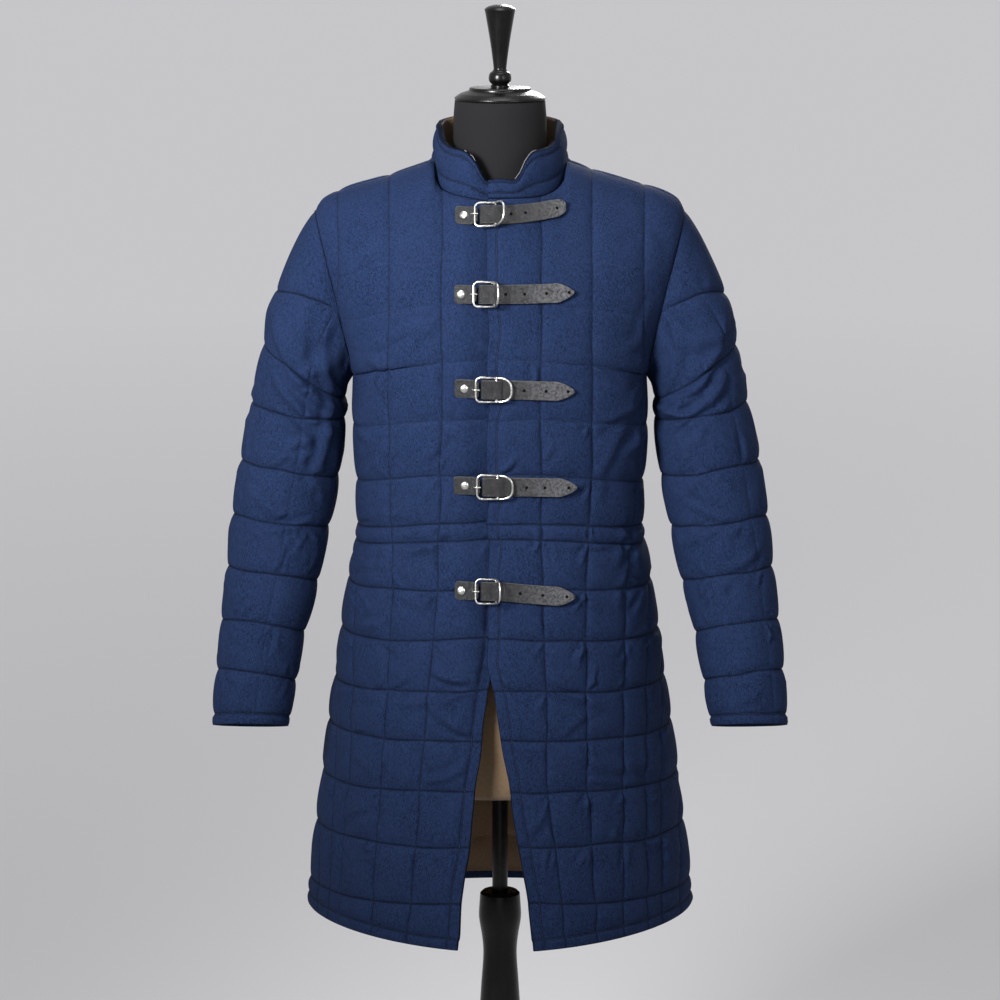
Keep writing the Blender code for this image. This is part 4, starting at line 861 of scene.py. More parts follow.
def frontLaps(base, mirror):
    # the right front runs under the left one, which lies a little over it
    x, apart = base[..., 0], eased(0.7, 0.86, base[..., 2])
    if mirror < 0:
        return -fronts["underlap"] * (1 - eased(0.012, 0.05, x)) * apart
    return fronts["overlap"] * (1 - eased(0.0, 0.045, x)) * apart


def bodyWall(side, mirror, seamsAt, widths, seed, creases):
    # one panel of the body, from the hem to the neckline and shoulder
    looks, front, rows = panelLooks, side < 0, bodyRows[:, None]
    columns = cellSteps(widths)
    angles = seamAngle(seamsAt(rowHeight(-1, bodyRows, quarter)), rows)
    cell = np.clip(np.floor(columns + 1e-9).astype(int), 0, len(widths) - 1)
    angle, necks = neckColumns(angles[:, cell] + (columns - cell) * (angles[:, cell + 1] - angles[:, cell]))
    atSide = np.abs(angle) > quarter - 1e-6
    x = bodyPoint(side, rows, angle)[..., 0]
    # seams stray a little from their lines, but not at the edges
    toTop = np.minimum(rows, topRow - rows) * 0.07
    calm = eased(0.0, 0.05, np.minimum(toTop, (quarter - np.abs(angle)) * 0.25))
    stray = cloth["waver"] * calm
    wavering = rows + stray * ripples(x / 0.045 + 3, rows * 1.3, seed + 9) / 0.065
    turned = angle + stray * ripples(rows * 1.7, x / 0.06, seed + 10) / 0.2
    turned = np.where(atSide, angle, np.clip(turned, -quarter, quarter))
    base = bodyPoint(side, wavering, turned)
    normal = bodyNormal(side, wavering, turned)
    if front:
        base = base + normal * frontLaps(base, mirror)[..., None]
    base[..., 1] += np.where(atSide | (rows >= topRow), side * seamGap / 2, 0.0)
    firm = looks["rightSkirt"] if mirror < 0 else looks["leftSkirt"]
    firm = firm + (looks["chest"] - firm) * eased(waistRow + 1.0, waistRow + 4.0, rows)
    upright = firm + looks["varies"] * np.random.default_rng(seed + 6).uniform(-1, 1, (1, len(widths) + 1))
    upright[:, [0, -1]] = 1.0
    if front:
        upright[:, :2] = looks["frontEdge"]
    height, facts = quilted(base, bodyRows, columns, rowDepths, upright, cloth["pillow"], seed)
    across, up = base[..., 0] * mirror, base[..., 2]
    low, high = sorted(mirror * x for x in looks["frontFolds"]) if front else looks["backFolds"]
    gathers = crossingCreases(base, columns, mirror, seed + 31)
    gathers += looseFolds((low, looks["foldsFrom"]), (high, looks["waist"]), 16, seed + 32)
    gathers += looseFolds((low, looks["waist"]), (high, looks["foldsTo"]), 8, seed + 33)
    folds = creased(across, up, list(creases) + gathers, looks["foldGain"])
    folds *= eased(0.12, 0.45, np.abs(np.cos(turned)))
    height += folds * eased(0.0, 0.01, facts["seam"] + 0.003) * calm
    height = np.maximum(height, 0.0)
    underarm = eased(underarmRow - 1.3, underarmRow - 0.2, rows)
    underarm = underarm * eased(quarter - 0.75, quarter - 0.2, np.abs(turned))
    height *= 1 - looks["underarm"] * underarm * (rows <= underarmRow + 2)
    height = pressed(height, across, up) if front else height
    height[atSide | (rows >= topRow)] = 0.0
    height[0] = np.maximum(height[0], cloth["edgeLift"])
    if front:
        height[:, 0] = np.maximum(height[:, 0], cloth["edgeLift"])
        # painted shade: the front edge counts as a seam, so the wool is painted dark along it for the shadow
        # at the overlapping edge
        facts["seam"][:, 0] = 0.0
    height[-1] = 0.0
    outer = base + normal * height[..., None]
    # below the form the lining is free to swell between the seams and to crease
    swell = creased(across, up, liningCreases, looks["foldGain"])
    swell = looks["liningSwell"] * height + np.maximum(swell, 0.0)
    swell *= (1 - eased(*looks["formEnds"], up)) * eased(0.0, 1.0, rows) * calm
    inner = base - normal * (cloth["wall"] + swell)[..., None]
    # along the armhole the wall meets the sleeve's
    arm = atSide & (rows >= underarmRow)
    armColumn = rows - underarmRow if front else underarmRow + sleeveColumns - rows
    slanted = base - sleeveNormal(0.0, np.where(arm, armColumn, 1.0)) * cloth["wall"]
    inner = np.where(arm[..., None], slanted, inner)
    outer[..., 0] *= mirror
    inner[..., 0] *= mirror
    return {"outer": outer, "inner": inner, "facts": facts, "tube": False, "turned": (0, 1), "necks": necks,
            "rows": bodyRows, "columns": columns}


# Fastenings: height, strap tip x, rise of the tip, buckle's left x, rivet x, tip of the right loop, sinks.
fastenings = (
    (1.4225, 0.079, 0.006, -0.031, -0.044, 50.0, 0.0, 0.0012),
    (1.3295, 0.0905, 0.001, -0.0335, -0.0475, 72.0, 0.0, 0.0012),
    (1.214, 0.09, -0.0045, -0.031, -0.0437, 11.0, 0.0007, 0.0012),
    (1.091, 0.0918, -0.0035, -0.029, -0.042, 11.0, 0.0001, 0.0012),
    (0.957, 0.0905, -0.01, -0.031, -0.0475, 72.0, 0.0, 0.003),
)
measures = ("height", "tipX", "rise", "buckleX", "rivetX", "tipUp", "sunk", "tabSunk")
fastenings = [dict(zip(measures, row)) for row in fastenings]


def pressed(height, across, up):
    # the straps press the padding flat under them
    limit = np.full(height.shape, 1.0)
    for at in fastenings:
        middle = at["height"] + at["rise"] * np.clip(across, 0, None) / at["tipX"]
        beside = eased(0.0115, 0.0175, np.abs(up - middle)) + eased(0.0, 0.006, -0.058 - across)
        beside = beside + eased(-0.006, 0.006, across - at["tipX"])
        sink = np.where(across < -0.012, at["tabSunk"], seamGap + at["sunk"])
        limit = np.minimum(limit, cloth["pillow"] - sink - seamGap + 0.02 * np.minimum(beside, 1.0))
    return np.minimum(height, limit)


def seamsBetween(seams, level):
    return np.stack([np.interp(level, seamLevels, seam) for seam in seams], axis=-1)


def frontSeams(level, edge, seams):
    first = edge + cloth["edgeBand"]
    placed = np.maximum(seamsBetween(seams, level), first[:, None] + 0.004)
    return np.concatenate([edge[:, None], first[:, None], placed, np.ones((len(level), 1))], axis=1)


def leftFrontSeams(level):
    edge = fronts["leftEdge"] + fronts["leftSwing"] * np.maximum(fronts["leftOpensAt"] - level, 0.0)
    return frontSeams(level, edge, leftSeams)


def rightFrontSeams(level):
    slanted = -fronts["rightHemEdge"] - fronts["rightSwing"] * (level - quiltRows[0][0])
    return frontSeams(level, np.maximum(slanted, -fronts["rightEdge"]), rightSeams)


def backSeams(level):
    ones = np.ones((len(level), 1))
    right, left = -seamsBetween(rightSeams, level)[:, ::-1], seamsBetween(leftSeams, level)
    return np.concatenate([-ones, right, ones * fronts["centreBack"], left, ones], axis=1)


# Folds as x, z, x, z, bow, half width, height, seen from the front.
leftFrontCreases = (
    (0.06, 0.855, 0.135, 0.8, 0.006, 0.006, 0.0032),
    (0.19, 1.19, 0.15, 1.12, -0.01, 0.008, 0.0026),
    (0.215, 1.33, 0.175, 1.25, 0.012, 0.007, 0.0024),
    (0.205, 1.365, 0.17, 1.4, 0.006, 0.006, 0.0018),
    (0.06, 1.02, 0.15, 1.008, 0.004, 0.006, 0.0016),
    (0.08, 0.76, 0.18, 0.715, 0.01, 0.008, 0.002),
    (0.11, 1.15, 0.17, 1.18, -0.006, 0.006, 0.0014),
)
rightFrontCreases = (
    (-0.09, 0.858, -0.04, 0.842, 0.004, 0.005, 0.0036),
    (-0.034, 0.832, -0.084, 0.802, 0.005, 0.005, 0.004),
    (-0.08, 0.806, -0.028, 0.774, 0.005, 0.006, 0.0036),
    (-0.04, 0.74, -0.095, 0.712, -0.005, 0.005, 0.0034),
    (-0.14, 0.842, -0.16, 0.808, 0.003, 0.004, 0.0026),
    (-0.15, 0.905, -0.175, 0.893, 0.002, 0.005, 0.0024),
    (-0.19, 1.2, -0.155, 1.13, 0.01, 0.008, 0.0026),
    (-0.205, 1.33, -0.19, 1.25, -0.01, 0.007, 0.0026),
    (-0.2, 1.38, -0.165, 1.41, -0.006, 0.006, 0.0016),
    (-0.06, 1.015, -0.15, 1.004, -0.004, 0.006, 0.0014),
)
backCreases = (
    (-0.18, 1.19, -0.12, 1.12, 0.012, 0.009, 0.0026),
    (0.185, 1.18, 0.13, 1.13, -0.012, 0.009, 0.0024),
    (0.02, 1.03, 0.12, 1.012, 0.005, 0.007, 0.002),
    (-0.03, 1.035, -0.13, 1.0, -0.006, 0.007, 0.0018),
    (-0.06, 0.85, -0.14, 0.79, 0.008, 0.008, 0.002),
    (0.07, 0.9, 0.15, 0.84, -0.008, 0.008, 0.0022),
    (0.17, 1.35, 0.11, 1.3, 0.01, 0.008, 0.002),
    (-0.17, 1.36, -0.1, 1.33, -0.008, 0.008, 0.002),
)
# Rough widths of the cells of each panel, from its front edge or its right side seam.
leftWidths = (0.0135, 0.055, 0.06, 0.062, 0.045, 0.038, 0.03, 0.03)
rightWidths = (0.0135, 0.05, 0.062, 0.06, 0.042, 0.034, 0.034)
backWidths = (0.034, 0.034, 0.042, 0.06, 0.062, 0.064, 0.062, 0.06, 0.062, 0.045, 0.038, 0.03, 0.03)
leftFront = bodyWall(-1, 1, leftFrontSeams, leftWidths, 11, leftFrontCreases)
rightFront = bodyWall(-1, -1, rightFrontSeams, rightWidths, 23, rightFrontCreases)
backPanel = bodyWall(1, 1, backSeams, backWidths, 37, backCreases)
frontLeft = wall("frontLeft", leftFront, "front_left")
frontRight = wall("frontRight", rightFront, "front_right")
back = wall("back_panel", backPanel, "back")
print("fronts and back quilted")

sleeveLooks = {
    "pillow": 0.005, "upright": 0.42,  # depth of the lengthwise seams
    "leftSeams": (0.0, 1.19, 2.15, 3.1, 4.1, 5.05, 6.0), "rightSeams": (0.0, 1.35, 2.4, 3.2, 4.05, 5.0, 6.0),
    "heights": (0.075, 0.055, 0.062, 0.076, 0.068, 0.068, 0.064, 0.062, 0.048, 0.014), "columnWidth": 0.06,
    "foldGain": 1.35, "firstAtArmpit": 0.14, "cuffSeam": 0.8, "gathers": 15, "slanting": 16,
}
# Folds on a sleeve as column in sixths, ring, column, ring, bow, half width, height.
leftSleeveCreases = (
    (0.9, 0.7, 1.7, 1.5, 0.05, 0.1, 0.004),
    (0.3, 2.3, 1.3, 3.0, -0.1, 0.12, 0.0036),
    (0.5, 3.0, 1.6, 2.5, 0.1, 0.1, 0.0026),
    (2.2, 1.6, 1.2, 1.2, 0.1, 0.11, 0.0028),
    (2.3, 5.5, 1.5, 5.9, 0.05, 0.1, 0.002),
    (1.9, 8.3, 1.2, 8.7, 0.05, 0.08, 0.0018),
    (4.6, 2.4, 5.6, 3.1, 0.1, 0.12, 0.0034),
    (4.0, 4.4, 5.0, 5.0, -0.08, 0.11, 0.0024),
)
rightSleeveCreases = (
    (0.5, 1.0, 1.6, 2.2, 0.12, 0.11, 0.0038),
    (0.9, 2.0, 1.1, 4.3, -0.16, 0.1, 0.0034),
    (2.2, 0.9, 1.5, 1.9, -0.12, 0.1, 0.003),
    (0.6, 3.2, 1.7, 3.7, 0.08, 0.1, 0.0024),
    (2.4, 7.9, 1.7, 8.3, 0.06, 0.08, 0.002),
    (1.6, 7.1, 0.9, 7.6, -0.06, 0.08, 0.0018),
    (4.5, 2.2, 5.5, 2.9, 0.1, 0.12, 0.0034),
    (4.1, 4.6, 5.0, 5.2, -0.08, 0.11, 0.0022),
)
# Broad folds of both sleeves, from the outer edge down to the armpit.
armpitFolds = [
    (2.6, 1.15, 0.7, 2.7, 0.1, 0.17, 0.0052), (2.2, 2.15, 0.7, 3.3, 0.08, 0.15, 0.0044),
    (1.5, 1.1, 0.7, 2.1, -0.06, 0.12, 0.0036), (1.0, 3.7, 2.1, 2.75, 0.06, 0.12, 0.0036),
]


def sleeveGathers(seed):
    # short gathers along the rings of stitching, and some longer slanting folds
    chance = np.random.default_rng(seed)
    short, slanting = [], []
    for ring in range(1, 9):
        for _ in range(sleeveLooks["gathers"]):
            c, way = chance.uniform(0.1, 5.9), chance.choice((-1, 1))
            end = (c + chance.uniform(-0.3, 0.3), ring + way * chance.uniform(0.25, 0.6))
            bow, width = chance.uniform(-0.05, 0.05), chance.uniform(0.035, 0.065)
            short.append((c, ring + 0.05 * way, *end, bow, width, chance.uniform(0.0012, 0.0026)))
    for _ in range(sleeveLooks["slanting"]):
        c, r = chance.uniform(0.2, 5.0), chance.uniform(1.0, 8.4)
        end = (c + chance.uniform(0.5, 1.2), r + chance.uniform(-0.7, 0.7))
        bow, width = chance.uniform(-0.12, 0.12), chance.uniform(0.06, 0.1)
        slanting.append((c, r, *end, bow, width, chance.uniform(0.0014, 0.0028)))
    return short + armpitFolds + slanting


def sleeveWall(mirror, seamColumns, seed, creases):
    looks = sleeveLooks
    rings = cellSteps(looks["heights"])[:, None]
    steps = cellSteps([looks["columnWidth"] * (b - a) for a, b in zip(seamColumns, seamColumns[1:])])
    column = np.interp(steps, np.arange(len(seamColumns)), seamColumns)[None, :] + 0.0 * rings
    column[:, -1] = column[:, 0]
    calm = eased(0.0, 0.6, np.minimum(rings, lastRing - rings))
    around = np.minimum(np.mod(column, sleeveColumns), sleeveColumns - np.mod(column, sleeveColumns))
    # the first ring of stitching ends at the armhole seam, well above the armpit
    first = looks["firstAtArmpit"] + (1 - looks["firstAtArmpit"]) * eased(1.1, 3.0, around)
    ringAt = np.where(rings <= 2, first + (rings - 1) * (2 - first), rings)
    ringAt = np.where(rings <= 1, rings * first, ringAt)
    stray = ripples(np.sin(column) * 2 + 5, np.cos(column) * 2 + rings * 1.3, seed) / 0.06
    wavering = ringAt + cloth["waver"] * calm * stray
    base = sleevePoint(wavering, column)
    normal = sleeveNormal(np.where(rings <= 0, 0.0, wavering), column)
    nearby = [armholePoint(np.mod(column[0] + step, sleeveColumns)) for step in (0.05, -0.05)]
    away = unit(np.cross(nearby[0] - nearby[1], normal[0]))
    base[0] += np.where(away[:, :1] > 0, away, -away) * seamGap * 1.3
    depths = np.ones((lastRing + 1, column.shape[1]))
    depths[-1] = looks["cuffSeam"]
    depths[1] = eased(0.9, 1.6, around[0])
    upright = np.full((1, len(seamColumns)), looks["upright"])
    height, facts = quilted(base, rings[:, 0], steps, depths, upright, looks["pillow"], seed + 50)
    folds = creased(column, rings + 0.0 * column, list(creases) + sleeveGathers(seed + 70), looks["foldGain"])
    # lower where the sleeve turns away, so its outline stays even
    folds *= 0.35 + 0.65 * eased(0.1, 0.9, np.minimum(around, sleeveColumns / 2 - around))
    height += folds * eased(0.0, 0.01, facts["seam"] + 0.004)
    height *= 1 - (1 - eased(0.2, 1.8, rings)) * (1 - eased(0.7, 2.4, around))
    height[0], height[-1] = 0.0, cloth["edgeLift"]
    height = np.maximum(height, 0.0)
    height[:, -1] = height[:, 0]
    grid = {"outer": base + normal * height[..., None], "inner": base - normal * cloth["wall"]}
    for face in grid.values():
        face[:, -1] = face[:, 0]
        face[..., 0] *= mirror
    return {**grid, "facts": facts, "tube": True, "turned": (-1, -2), "rows": rings[:, 0], "columns": steps}


leftSleeve = sleeveWall(1, sleeveLooks["leftSeams"], 61, leftSleeveCreases)
rightSleeve = sleeveWall(-1, sleeveLooks["rightSeams"], 83, rightSleeveCreases)
sleeveLeft = wall("sleeveLeft", leftSleeve, "sleeve_left")
sleeveRight = wall("sleeveRight", rightSleeve, "sleeve_right")
print("sleeves quilted")

collarLooks = {
    # height of the band by degrees round the neck from the front
    "heights": (
        (0.0, 0.024), (13.0, 0.024), (21.0, 0.044), (30.0, 0.055), (50.0, 0.054), (90.0, 0.048),
        (180.0, 0.046),
    ),
    "lean": 0.14, "wall": 0.0055, "gap": 0.0005, "tuck": 0.006, "firstShare": 0.15, "pleats": 0.0004,
    "seams": (0.0, 0.3, 0.86, 1.0), "swell": (0.0012, 0.0025, 0.001), "cells": (0.014, 0.03, 0.01),
    "grid": 0.0022,
}


def collarWall():
    looks = collarLooks
    one, two = backPanel["necks"]
    parts = (
        (rightFront, slice(0, rightFront["necks"][0] + 1)), (backPanel, slice(one + 1, two)),
        (leftFront, slice(leftFront["necks"][0], None, -1)),
    )
    base = np.concatenate([grid["outer"][-1, part] for grid, part in parts])
    under = np.concatenate([grid["inner"][-1, part] for grid, part in parts])
    keep = np.concatenate([[True], np.linalg.norm(np.diff(base, axis=0), axis=1) > 0.0004])
    base, under = base[keep], under[keep]
    out = unit(points(base[:, 0], base[:, 1] + 0.01, 0.0))
    away = unit(np.cross(np.gradient(base, axis=0), under - base))
    facing = np.sum(away * (np.array((0.0, 0.0, 1.0)) - out), axis=1, keepdims=True)
    away = np.where(facing < 0, -away, away)
    height = curveThrough(looks["heights"], 1, np.degrees(np.arctan2(np.abs(base[:, 0]), -base[:, 1])))
    runsUnder = (np.arange(len(base)) < len(base) / 2) & (base[:, 1] < 0)
    tuck = np.where(runsUnder, looks["tuck"] * (1 - eased(0.012, 0.05, -base[:, 0])), 0.0)
    steps = cellSteps(looks["cells"], looks["grid"])
    seams = np.array(looks["seams"])
    share = np.interp(steps, np.arange(4), seams)[:, None]
    lean = looks["lean"] * height * share + tuck * np.minimum(share / looks["firstShare"], 1.0)
    flat = base + points(0.0, 0.0, height * share) - out * lean[..., None] + away * looks["gap"]
    lengths = runLengths(base)
    cell = np.clip(np.floor(steps).astype(int), 0, 2)
    within = (steps - cell)[:, None]
    edgeAway = np.minimum(lengths, lengths[-1] - lengths)[None, :]
    ends = eased(0.0, 0.006, edgeAway)
    toSeam = np.minimum(within, 1 - within) * np.diff(seams)[cell][:, None] * height
    pleats = ripples(lengths[None, :] / 0.007 + cell[:, None] * 17, steps[:, None] * 0.7, 5)
    pleats = pleats * np.exp(-toSeam / 0.006) * np.sin(math.pi * within)
    swell = np.array(looks["swell"])[cell][:, None] * np.sin(math.pi * within) ** 0.7
    swell = (swell + looks["pleats"] * pleats) * ends
    grid = {"outer": flat + out * swell[..., None], "inner": flat - out * looks["wall"]}
    grid["inner"][0] = flat[0] + (under - base)
    # the distance to the collar's seam lines, its foot among them, sets the wool's painted seam shade along
    # them
    facts = {"across": lengths[None, :] + 0 * share, "down": height * share,
             "seam": np.minimum(toSeam, edgeAway + 0.003)}
    if len(base) % 2 == 0:  # the lining uses every second line
        middle = len(base) // 2
        grid = {key: np.delete(values, middle, 1) for key, values in grid.items()}
        facts = {key: np.delete(values, middle, 1) for key, values in facts.items()}
    return {**grid, "facts": facts, "tube": False, "turned": (), "rows": steps}


collarGrid = collarWall()
standCollar = wall("standCollar", collarGrid, "collar")
print("collar stood up")

formSections = (
    # side height, front and back height, half width, middle y, half depth, squareness
    (0.68, 0.68, 0.15, 0.0, 0.112, 2.2),
    (0.686, 0.686, 0.156, 0.0, 0.118, 2.2),
    (0.76, 0.76, 0.164, 0.002, 0.124, 2.2),
    (0.86, 0.86, 0.168, 0.0, 0.124, 2.2),
    (0.94, 0.94, 0.164, -0.003, 0.118, 2.2),
    (1.02, 1.02, 0.156, -0.006, 0.108, 2.2),
    (1.1, 1.1, 0.158, -0.006, 0.112, 2.3),
    (1.2, 1.2, 0.164, -0.006, 0.12, 2.2),
    (1.29, 1.29, 0.174, -0.004, 0.119, 2.2),
    (1.35, 1.35, 0.185, -0.002, 0.113, 2.05),
    (1.388, 1.388, 0.19, 0.0, 0.103, 1.9),
    (1.418, 1.411, 0.189, -0.001, 0.093, 1.8),
    (1.4385, 1.424, 0.185, -0.002, 0.086, 1.72),
    (1.4471, 1.431, 0.177, -0.002, 0.081, 1.68),
    (1.4556, 1.435, 0.15, -0.001, 0.0745, 1.66),
    (1.464, 1.438, 0.123, 0.001, 0.067, 1.62),
    (1.4695, 1.44, 0.102, 0.004, 0.058, 1.6),
    (1.46, 1.442, 0.082, 0.004, 0.056, 1.85),
    (1.472, 1.4525, 0.068, 0.0, 0.062, 2.0),
    (1.4735, 1.454, 0.062, 0.0, 0.0615, 2.0),
    (1.454, 1.454, 0.0605, 0.0, 0.0605, 2.0),
)


def formTorso():
    # smooth torso: one ring of points to each section, and rings between them
    bm = bmesh.new()
    table = np.array(formSections)
    order = np.arange(len(table), dtype=float)
    between = [np.linspace(k, k + 1, 5 if k < 12 else 3)[:-1] for k in range(len(table) - 1)]
    turns = np.linspace(0, 2 * math.pi, 97)[:-1]
    rings = []
    for place in np.concatenate(between + [order[-1:]]):
        # straight between the sections, as the coat rests close on it
        section = [np.interp(place, order, column) for column in table.T]
        sideZ, frontZ, halfWidth, middleY, halfDepth, square = section
        x = halfWidth * signedPower(np.cos(turns), 2 / square)
        y = middleY + halfDepth * signedPower(np.sin(turns), 2 / square)
        rings.append(newRing(bm, points(x, y, frontZ + (sideZ - frontZ) * np.cos(turns) ** 2))[1])
    bridged(bm, rings)
    obj = newPiece("formTorso", bm, formLinen, "form_linen", "form_torso")
    obj.data.set_sharp_from_angle(angle=math.radians(50))


def spun(bm, profile, steps, rounding=0.0):
    # a profile of radius and height spun round the upright axis, its corners rounded
    verts = [bm.verts.new((radius, 0.0, z)) for radius, z in profile]
    for pair in zip(verts, verts[1:]):
        bm.edges.new(pair)
    if rounding:
        bmesh.ops.bevel(bm, geom=verts[1:-1], offset=rounding, affect="VERTICES", segments=3, profile=0.5,
                        material=-1)
    bmesh.ops.spin(bm, geom=bm.verts[:] + bm.edges[:], cent=(0, 0, 0), axis=(0, 0, 1), angle=2 * math.pi,
                   steps=steps, use_merge=True)
    bmesh.ops.remove_doubles(bm, verts=bm.verts, dist=0.00001)


def settled(bm, out, place):
    # turns a mesh made upright to face outward, and moves it to its place
    turn = Vector((0.0, 0.0, 1.0)).rotation_difference(Vector(out))
    bmesh.ops.rotate(bm, verts=bm.verts, cent=(0, 0, 0), matrix=turn.to_matrix())
    bmesh.ops.translate(bm, verts=bm.verts, vec=place)


def turnedPiece(name, profile, material, slot, node, rounding=0.0, steps=96):
    bm = bmesh.new()
    spun(bm, [(0.0, profile[0][1]), *profile, (0.0, profile[-1][1])], steps, rounding)
    obj = newPiece(name, bm, material, slot, node)
    obj.data.set_sharp_from_angle(angle=math.radians(40))


def throughPoints(path, count=4):
    # cubic curve through a path of any number of columns
    keyed = np.column_stack([np.arange(len(path)), path])
    at = np.linspace(0, len(path) - 1, (len(path) - 1) * count + 1)
    return np.stack([curveThrough(keyed, c, at) for c in range(1, keyed.shape[1])], axis=-1)


stand = {
    "neck": ((0.0595, 1.4545), (0.059, 1.5), (0.0585, 1.54), (0.057, 1.559)),
    "cap": ((0.056, 1.5593), (0.0573, 1.56), (0.0573, 1.5625), (0.05, 1.5675), (0.039, 1.5712),
            (0.0388, 1.5735), (0.0375, 1.575)),
    "finialFoot": ((0.0116, 1.5753), (0.0116, 1.5775)),
    "finial": ((0.01, 1.5785), (0.0135, 1.5825), (0.0143, 1.5866), (0.013, 1.5925), (0.0087, 1.5965),
               (0.0085, 1.603), (0.0125, 1.633), (0.0185, 1.668), (0.0196, 1.6724), (0.015, 1.6762),
               (0.007, 1.6785)),
    "pole": ((0.01, 0.5326), (0.01, 0.6797)),
    "column": ((0.034, 0.0223), (0.034, 0.032), (0.0262, 0.042)),
    "columnTop": ((0.0262, 0.38), (0.0242, 0.411), (0.0218, 0.448), (0.0235, 0.472), (0.0274, 0.497),
                  (0.0266, 0.518), (0.0258, 0.529)),
    "columnCrown": (0.0225, 0.5323),
    "base": ((0.17, 0.0), (0.175, 0.004), (0.175, 0.015), (0.169, 0.02), (0.06, 0.022)),
}
formTorso()
finial = [*stand["finialFoot"], *throughPoints(stand["finial"])]
column = [*stand["column"], *throughPoints(stand["columnTop"]), stand["columnCrown"]]
turnedPiece("formNeck", stand["neck"], charcoalJersey, "form_jersey", "form_neck", 0.0012)
turnedPiece("neckCap", stand["cap"], blackLacquer, "black_wood", "neck_cap", 0.0006)
turnedPiece("finialKnob", finial, blackLacquer, "black_wood", "finial")
turnedPiece("steelPole", stand["pole"], paintedPole, "black_metal", "pole", 0.0004, 48)
turnedPiece("turnedColumn", column, blackLacquer, "black_wood", "column")
turnedPiece("roundBase", stand["base"], blackLacquer, "black_wood", "base", 0.001, 128)
print("form and stand turned")

fastening = {
    "strapHalf": 0.0118, "thick": 0.0022, "taper": 0.02, "middle": 0.01,
    "stations": (0.024, 0.036, 0.047, 0.058), "tabLeft": -0.0555, "tabHalf": 0.0115, "wire": 0.0014,
    "loopHalf": 0.0153, "loopLength": 0.027,
    "barHeight": 0.0052, "barEnd": 0.0004, "corner": 0.006, "roundReach": 0.019, "roundSquare": 0.72,
    "prong": 0.0009, "rivet": 0.0052, "rivetHeight": 0.002, "clear": 0.0004, "hole": 0.002, "window": 0.0088,
    "lowestWire": 0.86, "topRivet": 0.86, "slot": 0.0006, "slotHalf": 0.0009,
}
prongPath = ((-0.0034, 0.0), (-0.0026, 0.0022), (-0.0001, 0.0036), (0.0026, 0.0032), (0.005, 0.0022))
# Section of a strip, as shares of its half width and half thickness.
stripOutline = (
    (-1.0, 0.0), (-0.99, 0.5), (-0.95, 0.86), (-0.9, 1.0), (-0.83, 0.94), (-0.45, 0.97), (0.0, 1.0),
    (0.45, 0.97), (0.83, 0.94), (0.9, 1.0), (0.95, 0.86), (0.99, 0.5), (1.0, 0.0),
    (0.99, -0.5), (0.93, -0.95), (0.45, -1.0), (0.0, -1.0), (-0.45, -1.0), (-0.93, -0.95), (-0.99, -0.5),
)
# Profile of a rivet as shares of its radius and height, and of a hole as share of its radius, and height.
rivetProfile = (
    (0.0, 0.5), (0.35, 0.46), (0.62, 0.3), (0.84, 0.02), (0.97, -0.25), (1.0, -0.42), (0.94, -0.5),
    (0.0, -0.5),
)
holeProfile = ((0.0, 0.0001), (0.55, 0.00012), (0.9, 0.00022), (1.0, 0.0001), (1.04, -0.0004), (0.0, -0.0006))
# Holes in each strap, as distances from the middle of the coat.
strapHoles = (
    (0.0125, 0.0315, 0.07), (0.0075, 0.0305, 0.0585, 0.0845), (0.029, 0.0565, 0.084), (0.032, 0.057, 0.086),
    (0.025, 0.053, 0.083),
)


def surfaceAt(x, z):
    # top of the padding on the fronts, at a place seen from the front
    row = float(underarmRow)
    for _ in range(6):
        angle = seamAngle(x, row)
        heights = rowHeight(-1, np.arange(topRow + 1.0), angle)
        row = float(np.interp(z, heights, np.arange(topRow + 1.0)))
    angle = seamAngle(x, row)
    return bodyPoint(-1, row, angle) + bodyNormal(-1, row, angle) * cloth["pillow"]


def wayUp(z):
    # slope of the chest under a fastening, which the whole of it shares
    middle, half = fastening["middle"], fastening["strapHalf"]
    slope = surfaceAt(middle, z + half) - surfaceAt(middle, z - half)
    slope[0] = 0.0
    return unit(slope)


def seatAt(x, z, up):
    # a point under a strap's middle, and the way out from it
    half = fastening["strapHalf"]
    out = unit(np.cross(surfaceAt(x + 0.004, z) - surfaceAt(x - 0.004, z), up))
    middle = surfaceAt(x, z)
    rises = [np.dot(surfaceAt(x, z + share * half * up[2]) - middle, out) for share in (-1, -0.5, 0, 0.5, 1)]
    edge = fronts["leftEdge"]
    lift = fronts["overlap"] * eased(3 * edge, edge, x) * (1 - eased(0.0, 0.045, x))
    return middle + out * (max(rises) + lift + seamGap), out


